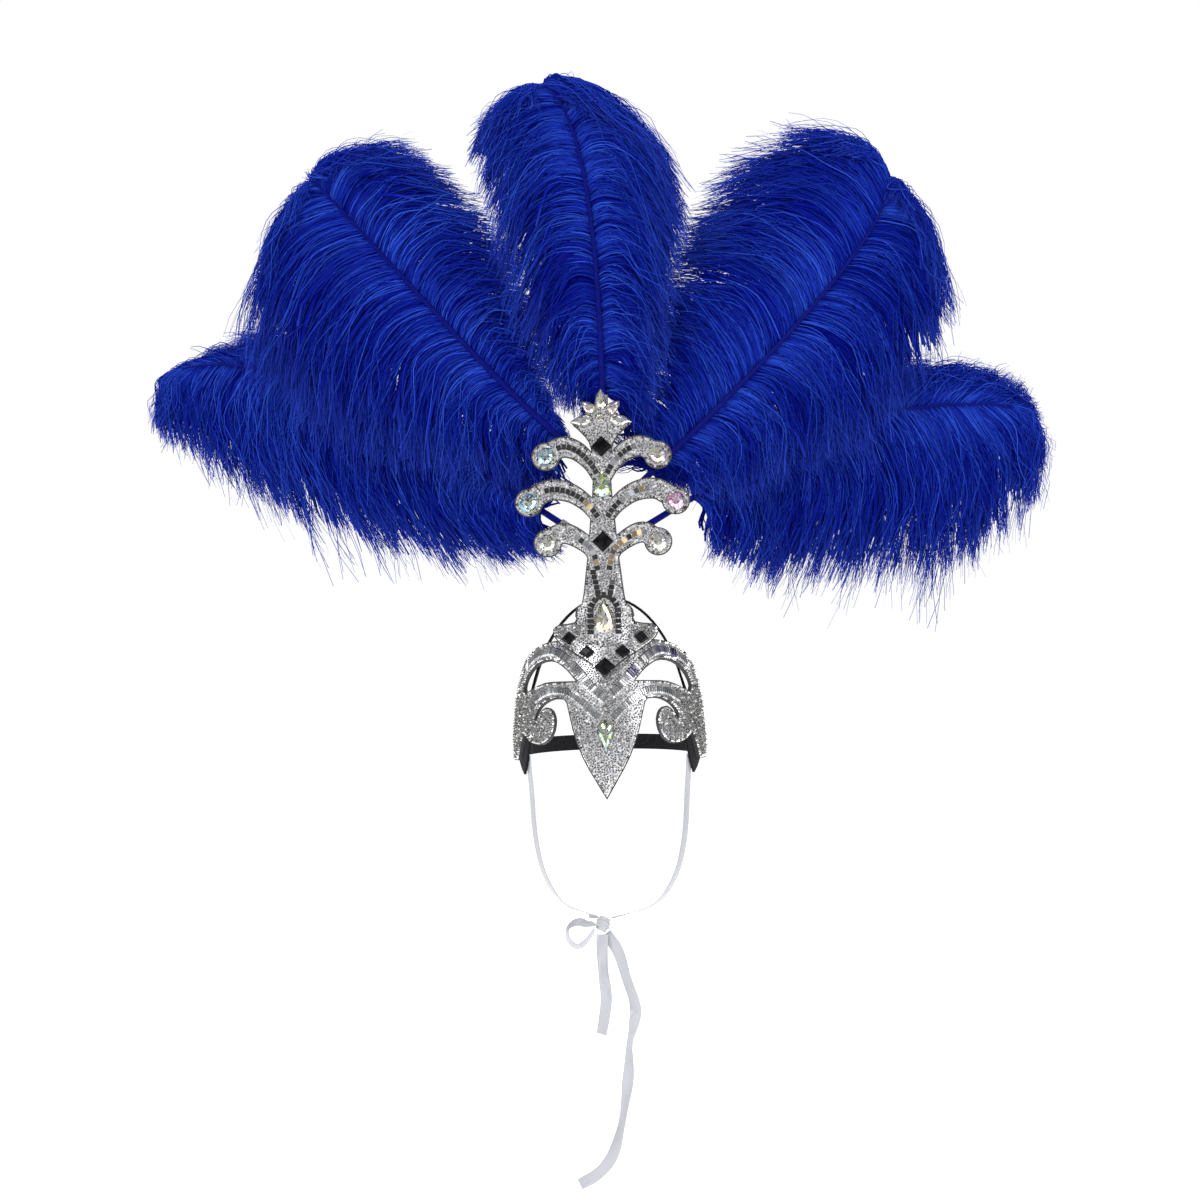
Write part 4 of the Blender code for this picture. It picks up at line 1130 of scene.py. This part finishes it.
def crystal(name, tints, seed, finish):
    """A cut crystal in place of its plain node: girdle, two rows of kite facets and a table."""
    rng = np.random.default_rng(seed)
    ring, middle, side, up, out, rise = base_ring(name)
    line = even_points(ring, FACET_WIDTH, True)
    centre = average(line)
    count = len(line)
    bm = bmesh.new()
    rings = []
    for scale, height, shifted in CUT_LEVELS:
        verts = []
        for i, p in enumerate(line):
            p = (p + line[(i + 1) % count]) / 2 if shifted else p
            p = centre + (p - centre) * scale
            place = middle + side * p.x + up * p.y + out * rise * height
            verts.append(bm.verts.new(place))
        rings.append(verts)
    peak = bm.verts.new(middle + side * centre.x + up * centre.y + out * rise)
    tint_layer = bm.loops.layers.float_color.new("tint")
    palette = [*tints, *FACET_REFLECTION_GREYS]

    def facet(*verts):
        face = bm.faces.new(verts)
        # Each facet is painted one coat colour or a painted reflection in white, grey or black, at a random
        # brightness.
        colour = palette[rng.choice(len(palette), p=FACET_SHARES)]
        light = rng.uniform(0.75, 1.2)
        for loop in face.loops:
            loop[tint_layer] = (*scaled(colour, light), 1.0)

    base, girdle, crown, table = rings
    for i in range(count):
        j = (i + 1) % count
        facet(base[i], base[j], girdle[j], girdle[i])
        facet(girdle[i], girdle[j], crown[i])
        facet(girdle[j], crown[j], crown[i])
        facet(crown[i], crown[j], table[j])
        facet(crown[i], table[j], table[i])
        facet(table[i], table[j], peak)
    facet(*reversed(base))
    bmesh.ops.recalc_face_normals(bm, faces=bm.faces)
    placed_mesh(name + "_cut", mesh_of(bm, name + "_cut"), finish, "mirror_backed_crystal", name)


class HEADDRESS_OT_crystals(Operator):
    """Cut crystals: round, drop-shaped and the lotus, each with its own coat of colours"""

    bl_idname = "headdress.crystals"
    bl_label = "Cut crystals"

    def execute(self, context):
        finish = stone_finish("coated_crystal", 0.05, 0.75, 1.0)
        for seed, (name, *tints) in enumerate(CRYSTAL_TINTS):
            crystal(name, tints, seed, finish)
        return {"FINISHED"}


def dress_nodes(prefixes, finish):
    """Gives carried-over nodes their material, and returns them."""
    dressed = [node for name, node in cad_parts.items() if name.startswith(prefixes)]
    for node in dressed:
        node.data.materials.clear()
        node.data.materials.append(finish)
    return dressed


class HEADDRESS_OT_jet(Operator):
    """Black lozenges: polished, with softened corners"""

    bl_idname = "headdress.jet"
    bl_label = "Black lozenges"

    def execute(self, context):
        for node in dress_nodes("stone_lozenge", jet_finish()):
            weld = node.modifiers.new("joined", "WELD")
            weld.merge_threshold = 1e-5
            soften = node.modifiers.new("soft_corners", "BEVEL")
            soften.width = 0.00025
            soften.segments = 1
            soften.limit_method = "ANGLE"
        return {"FINISHED"}


class HEADDRESS_OT_felt(Operator):
    """Felt: the hoop over the head, the side tabs and the back band"""

    bl_idname = "headdress.felt"
    bl_label = "Felt"

    def execute(self, context):
        felt = felt_finish(context.scene.headdress_trim.felt)
        dress_nodes(("crown_hoop", "side_tab", "back_band"), felt)
        return {"FINISHED"}


class HEADDRESS_OT_quills(Operator):
    """Quills and the plastic sleeves that hold them"""

    bl_idname = "headdress.quills"
    bl_label = "Quills and sleeves"

    def execute(self, context):
        dress_nodes("quill_sleeve", plastic_finish())
        finish = quill_finish(context.scene.headdress_plumes.deep)
        dress_nodes(tuple(f"quill_{name}" for name in PLUME_NAMES), finish)
        return {"FINISHED"}


def quill_points(name, shares):
    """Points of a quill's middle line, one row for each share of its length."""
    across, up, tip_across, tip_up, heading, tip_heading, keep, tip_keep, setback, _ = PLUMES[name]
    low, high = SLEEVE_BOX
    plane = (low.y + high.y) / 2
    turn, tip_turn = math.radians(heading), math.radians(tip_heading)
    way = np.array((math.cos(turn), 0.0, math.sin(turn)))
    tip_way = np.array((math.cos(tip_turn), 0.0, math.sin(tip_turn)))
    mouth = np.array((across, plane, up)) + way * SLEEVE_LENGTH
    tip = np.array((tip_across, plane, tip_up))
    span = np.linalg.norm(tip - mouth)
    first, second = mouth + way * keep * span, tip - tip_way * tip_keep * span
    t = np.asarray(shares)[:, None]
    early, late = 3 * (1 - t) ** 2 * t * first, 3 * (1 - t) * t**2 * second
    points = (1 - t) ** 3 * mouth + early + late + t**3 * tip
    rise = np.clip(t[:, 0] / SETBACK_SHARE, 0.0, 1.0)
    points[:, 1] += setback * rise * rise * (3 - 2 * rise) - TIP_LEAN * t[:, 0] ** 2
    return points


def lengths(rows):
    return np.linalg.norm(rows, axis=-1, keepdims=True)


def barb_tips(name, stations, sides, tuck=1.0):
    """Where barbs that start at these stations end: on the plume's outline, or tucked inside it."""
    across, up, tip_across, tip_up = PLUMES[name][:4]
    root = np.array((across, 0.0, up))
    chord = np.array((tip_across, 0.0, tip_up)) - root
    left_normal = np.array((-chord[2], 0.0, chord[0]))
    rows = [np.interp(stations, STATIONS, row) for row in OUTLINES[name]]
    along = np.where(sides < 0, rows[0], rows[2])[:, None]
    out = (np.where(sides < 0, rows[1], -rows[3]) * tuck)[:, None]
    return root + chord * along + left_normal * out


def barb_lines(name, count, layer, settings, rng):
    """Points along each barb of a layer, with its shade."""
    _, _, steps, _, _, lock_size, pull, shortest, longest, depth, tip_depth, light, wild = layer
    locks = max(2, count // lock_size)
    bare = PLUMES[name][-1]
    lock_stations = np.minimum(1.0, bare + 1.06 * (1 - bare) * rng.random(locks) ** 0.9)
    lock_sides = np.where(rng.random(locks) < 0.5, -1.0, 1.0)
    lock_reach = rng.uniform(shortest, longest, locks)
    lock_shift = rng.normal(0.0, 0.025, locks)
    lock_light = rng.normal(0.0, 0.07, locks)
    lock = np.repeat(np.arange(locks), lock_size)[:count]
    count = len(lock)
    spread = 0.008 + 0.0006 * lock_size
    stations = np.clip(lock_stations[lock] + rng.normal(0.0, spread, count), bare, 1.0)
    sides = lock_sides[lock]
    start = quill_points(name, stations)
    ahead = quill_points(name, np.clip(stations + 0.01, 0, 1)) - quill_points(name, stations - 0.01)
    heading = ahead * (1.0, 0.0, 1.0)
    heading /= lengths(heading)
    base = stations < 0.10
    tuck = np.where(base, rng.uniform(0.0, 1.0, count), 1.0)
    own = barb_tips(name, stations, sides, tuck)
    shared = barb_tips(name, np.clip(lock_stations + lock_shift, 0.0, 1.0), lock_sides)[lock]
    gather = (shared - own) * (pull * rng.uniform(0.75, 1.0, count))[:, None]
    flat_start = start * (1.0, 0.0, 1.0)
    reach = lock_reach[lock] * rng.uniform(0.91, 1.0, count)
    tips = flat_start + (own - flat_start) * reach[:, None]
    span = lengths(tips - flat_start)
    ending = np.clip((stations - 0.86) / 0.14, 0.0, 1.0)
    splay = np.where(base, rng.uniform(0.0, 60.0, count), 0.0)
    leave = np.radians((52.0 + splay + rng.normal(0.0, 7.0, count)) * (1 - 0.8 * ending)) * sides
    cos, sin = np.cos(leave), np.sin(leave)
    way = np.stack(
        (heading[:, 0] * cos + heading[:, 2] * sin, 0 * cos, -heading[:, 0] * sin + heading[:, 2] * cos),
        axis=1,
    )
    belly = flat_start + way * span * 0.52
    t = np.linspace(0.0, 1.0, steps + 1)[None, :, None]
    lines = (1 - t) ** 2 * flat_start[:, None] + 2 * (1 - t) * t * belly[:, None] + t**2 * tips[:, None]
    lines = lines + gather[:, None] * t**2.2
    chord = (tips - flat_start) / np.maximum(span, 1e-6)
    aside = np.stack((-chord[:, 2], 0 * chord[:, 0], chord[:, 0]), axis=1)
    phase = rng.uniform(0, 2 * math.pi, (count, 1, 1)) * 0.35 + rng.uniform(0, 6, locks)[lock][:, None, None]
    waves = rng.uniform(0.9, 1.7, (count, 1, 1))
    wave = np.sin(2 * math.pi * waves * t + phase) * t**1.6
    curl = wild * settings.curl * rng.uniform(0.4, 1.6, (count, 1, 1))
    lines = lines + aside[:, None] * wave * curl
    longer = 1 + 5 * np.maximum(0.0, reach - 1)[:, None, None]
    sag = settings.droop * span[:, None] * t**3 * rng.uniform(0.3, 1.5, (count, 1, 1)) * longer
    lines[:, :, 2] -= sag[:, :, 0]
    thickness = rng.uniform(0.2, 1.0, (count, 1))
    layer_depth = depth + (tip_depth - depth) * t[:, :, 0]
    bow = 0.006 * t[:, :, 0] ** 2 + rng.normal(0.0, 0.0045, (count, 1)) * t[:, :, 0] ** 2
    lines[:, :, 1] = start[:, 1:2] + QUILL_RADIUS * 0.6 + layer_depth * thickness * 1.6 + bow
    middle_light = 0.07 * np.exp(-((t[:, :, 0] - 0.22) ** 2) / 0.02)
    # Painted shade and light: each layer's brightness darkens the layers behind and lightens those in front;
    # added to it are a lighter band near the quill and random shifts of tone for each lock and barb.
    shade = light + lock_light[lock][:, None] + rng.normal(0.0, 0.13, (count, 1)) + middle_light
    # Painted glints: a few barbs, more in the loose layers, lifted brighter as if they caught the light.
    glint = rng.random((count, 1)) < 0.05 * wild
    shade = np.clip(shade + 0.35 * glint, 0.0, 1.0)
    return lines, shade, np.broadcast_to(t[:, :, 0], shade.shape)


def strips(lines, width, taper, rng):
    """Corners of a thin strip along each line, turned a little differently for each."""
    count, steps = lines.shape[:2]
    ahead = np.gradient(lines, axis=1)
    ahead /= np.maximum(lengths(ahead), 1e-9)
    facing = np.array((0.0, -1.0, 0.0))
    side = np.cross(ahead, facing)
    side /= np.maximum(lengths(side), 1e-9)
    up = np.cross(ahead, side)
    t = np.linspace(0.0, 1.0, steps)[None, :, None]
    twist = rng.normal(0.0, 0.55, (count, 1, 1)) + rng.normal(0.0, 0.8, (count, 1, 1)) * t
    across = side * np.cos(twist) + up * np.sin(twist)
    half = 0.5 * width * (1 - (1 - taper) * t**1.5) * rng.uniform(0.7, 1.25, (count, 1, 1))
    return np.stack((lines - across * half, lines + across * half), axis=2)


def strip_mesh(name, parts):
    """One mesh of all the strips. Parts are (corners, shade, along)."""
    corners, shades, alongs, faces, start = [], [], [], [], 0
    for points, shade, along in parts:
        count, steps = points.shape[:2]
        corners.append(points.reshape(-1, 3))
        shades.append(np.repeat(shade[:, :, None], 2, axis=2).ravel())
        alongs.append(np.repeat(along[:, :, None], 2, axis=2).ravel())
        index = start + np.arange(count * steps * 2).reshape(count, steps, 2)
        quads = np.stack((index[:, :-1, 0], index[:, :-1, 1], index[:, 1:, 1], index[:, 1:, 0]), axis=-1)
        faces.append(quads.reshape(-1, 4))
        start += count * steps * 2
    corners, faces = np.concatenate(corners), np.concatenate(faces)
    mesh = bpy.data.meshes.new(name)
    mesh.vertices.add(len(corners))
    mesh.vertices.foreach_set("co", corners.astype(np.float32).ravel())
    mesh.loops.add(faces.size)
    mesh.loops.foreach_set("vertex_index", faces.astype(np.int32).ravel())
    mesh.polygons.add(len(faces))
    mesh.polygons.foreach_set("loop_start", np.arange(0, faces.size, 4, dtype=np.int32))
    mesh.update(calc_edges=True)
    mesh.shade_smooth()
    for label, values in (("shade", shades), ("along", alongs)):
        store(mesh, label, "FLOAT", "value", np.concatenate(values))
    return mesh


class HEADDRESS_OT_plumes(Operator):
    """Ostrich plumes: layers of curling barbs, drawn into locks towards their ends"""

    bl_idname = "headdress.plumes"
    bl_label = "Plumes"

    def execute(self, context):
        settings = context.scene.headdress_plumes
        finish = ostrich_finish(settings.deep, settings.bright)
        for order, name in enumerate(PLUME_NAMES):
            rng = np.random.default_rng(settings.seed + order)
            parts = []
            for layer in BARB_LAYERS:
                count = int(settings.barbs * layer[1])
                lines, shade, along = barb_lines(name, count, layer, settings, rng)
                parts.append((strips(lines, layer[3], layer[4], rng), shade, along))
            mesh = strip_mesh(f"barbs_{name}", parts)
            placed_mesh(f"barbs_{name}", mesh, finish, "blue_ostrich", f"plume_{name}")
        return {"FINISHED"}


def wrap_knot(bm):
    """Slanted folds pressed into the knot, where the ribbon is wound round it."""
    bmesh.ops.subdivide_edges(bm, edges=bm.edges, cuts=2, use_grid_fill=True)
    middle = average([v.co for v in bm.verts])
    for vert in bm.verts:
        arm = vert.co - middle
        round_place = (arm.z + 0.45 * arm.x + 0.25 * arm.y) / KNOT_FOLD
        groove = abs(math.cos(math.pi * round_place)) ** 4
        vert.co -= arm.normalized() * KNOT_DEPTH * groove


class HEADDRESS_OT_ribbons(Operator):
    """Satin ribbons along the jaw, their knot, the bow and the tails"""

    bl_idname = "headdress.ribbons"
    bl_label = "Ribbons"

    def execute(self, context):
        finish = satin_finish(context.scene.headdress_trim.satin)
        names = ("jaw_left", "jaw_right", "bow", "tail_short", "tail_long", "knot")
        for name in names:
            bm = merged_node(f"ribbon_{name}")
            area = sum(f.calc_area() for f in bm.faces)
            crease = bm.edges.layers.float.new("crease_edge")
            for edge in bm.edges:
                closed = name != "knot" and len(edge.link_faces) == 2
                if closed and edge.calc_face_angle() > math.radians(60):
                    edge[crease] = 0.9
            bmesh.ops.join_triangles(
                bm,
                faces=bm.faces,
                angle_face_threshold=math.radians(40),
                angle_shape_threshold=math.radians(60),
            )
            if name == "knot":
                wrap_knot(bm)
            mesh = mesh_of(bm, f"satin_{name}")
            mesh.shade_smooth()
            piece = placed_mesh(f"satin_{name}", mesh, finish, "white_satin", f"ribbon_{name}")
            smooth = piece.modifiers.new("soft", "SUBSURF")
            smooth.levels = smooth.render_levels = 2
            if name != "knot":
                held_by = "side_tab_left" if name == "jaw_left" else "ribbon_knot"
                held_by = "side_tab_right" if name == "jaw_right" else held_by
        return {"FINISHED"}


def area_light(name, place, target, size, power):
    data = bpy.data.lights.new(name, "AREA")
    data.shape = "DISK"
    data.size = size
    data.energy = power
    lamp = linked(name, data)
    lamp.location = place
    lamp.rotation_euler = (Vector(target) - Vector(place)).to_track_quat("-Z", "Y").to_euler()


class HEADDRESS_OT_stage(Operator):
    """Stage: pale floor, soft studio lights and the camera"""

    bl_idname = "headdress.stage"
    bl_label = "Stage"

    def execute(self, context):
        settings = context.scene.headdress_stage
        scene = context.scene
        bm = bmesh.new()
        bmesh.ops.create_circle(bm, cap_ends=True, segments=96, radius=9.0)
        bmesh.ops.translate(bm, verts=bm.verts, vec=(0, 0, CAD_BOX[0].z - 0.04))
        mesh = mesh_of(bm, "floor")
        mesh.materials.append(floor_finish(settings.floor, settings.glow))
        floor = linked("floor", mesh)
        world = bpy.data.worlds.new("studio")
        scene.world = world
        world.use_nodes = True
        sky = world.node_tree
        seen = sky.nodes["Background"]
        fill(seen, Color=WHITE, Strength=1.0)
        light = add_node(sky, "ShaderNodeBackground", Color=(0.93, 0.96, 1.0, 1.0), Strength=0.55)
        path = sky.nodes.new("ShaderNodeLightPath")
        room = add_node(sky, "ShaderNodeBackground", Color=(0.95, 0.97, 1.0, 1.0), Strength=0.28)
        shiny = sky.nodes.new("ShaderNodeMixShader")
        sky.links.new(path.outputs["Is Glossy Ray"], shiny.inputs["Fac"])
        sky.links.new(light.outputs["Background"], shiny.inputs[1])
        sky.links.new(room.outputs["Background"], shiny.inputs[2])
        mix = sky.nodes.new("ShaderNodeMixShader")
        sky.links.new(path.outputs["Is Camera Ray"], mix.inputs["Fac"])
        sky.links.new(shiny.outputs["Shader"], mix.inputs[1])
        sky.links.new(seen.outputs["Background"], mix.inputs[2])
        sky.links.new(mix.outputs["Shader"], sky.nodes["World Output"].inputs["Surface"])
        power = settings.lights
        middle = (CAD_BOX[0] + CAD_BOX[1]) / 2
        area_light("key", (-1.3, -2.2, 1.9), middle, 1.3, 62 * power)
        area_light("fill", (1.9, -1.8, 0.7), middle, 1.6, 24 * power)
        area_light("top", (0.1, 0.1, 2.4), middle, 1.2, 32 * power)
        area_light("back", (0.3, 2.4, 1.3), middle, 1.6, 34 * power)
        camera = linked("camera", bpy.data.cameras.new("camera"))
        camera.data.lens = CAMERA_LENS
        camera.data.sensor_width = SENSOR_WIDTH
        turn = Matrix.Rotation(math.radians(CAMERA_TURN), 4, "Z") @ Matrix.Rotation(math.pi / 2, 4, "X")
        turn = turn @ Matrix.Rotation(math.radians(CAMERA_ROLL), 4, "Z")
        camera.matrix_world = Matrix.Translation(CAMERA_PLACE) @ turn
        scene.camera = camera
        scene.view_settings.view_transform = "Standard"
        return {"FINISHED"}


class HEADDRESS_PT_panel(Panel):
    """Lists the headdress's pieces and their settings"""

    bl_label = "Headdress"
    bl_idname = "HEADDRESS_PT_panel"
    bl_space_type = "VIEW_3D"
    bl_region_type = "UI"
    bl_category = "Headdress"

    def draw(self, context):
        layout = self.layout
        for operator in OPERATORS:
            layout.operator(operator.bl_idname)
        for name, group in SETTINGS.items():
            box = layout.box()
            for key in group.__annotations__:
                box.prop(getattr(context.scene, name), key)


SETTINGS = {
    "headdress_sheets": SheetSettings,
    "headdress_stones": StoneSettings,
    "headdress_plumes": PlumeSettings,
    "headdress_trim": TrimSettings,
    "headdress_stage": StageSettings,
}

OPERATORS = (
    HEADDRESS_OT_stage,
    HEADDRESS_OT_sheets,
    HEADDRESS_OT_crystals,
    HEADDRESS_OT_jet,
    HEADDRESS_OT_small_stones,
    HEADDRESS_OT_felt,
    HEADDRESS_OT_quills,
    HEADDRESS_OT_plumes,
    HEADDRESS_OT_ribbons,
)

CLASSES = (*SETTINGS.values(), *OPERATORS, HEADDRESS_PT_panel)


def register():
    for made in CLASSES:
        bpy.utils.register_class(made)
    for name, group in SETTINGS.items():
        setattr(bpy.types.Scene, name, PointerProperty(type=group))


def unregister():
    for name in SETTINGS:
        delattr(bpy.types.Scene, name)
    for made in reversed(CLASSES):
        bpy.utils.unregister_class(made)


def main():
    register()
    for operator in OPERATORS:
        group, name = operator.bl_idname.split(".")
        getattr(getattr(bpy.ops, group), name)()


if __name__ == "__main__":
    main()
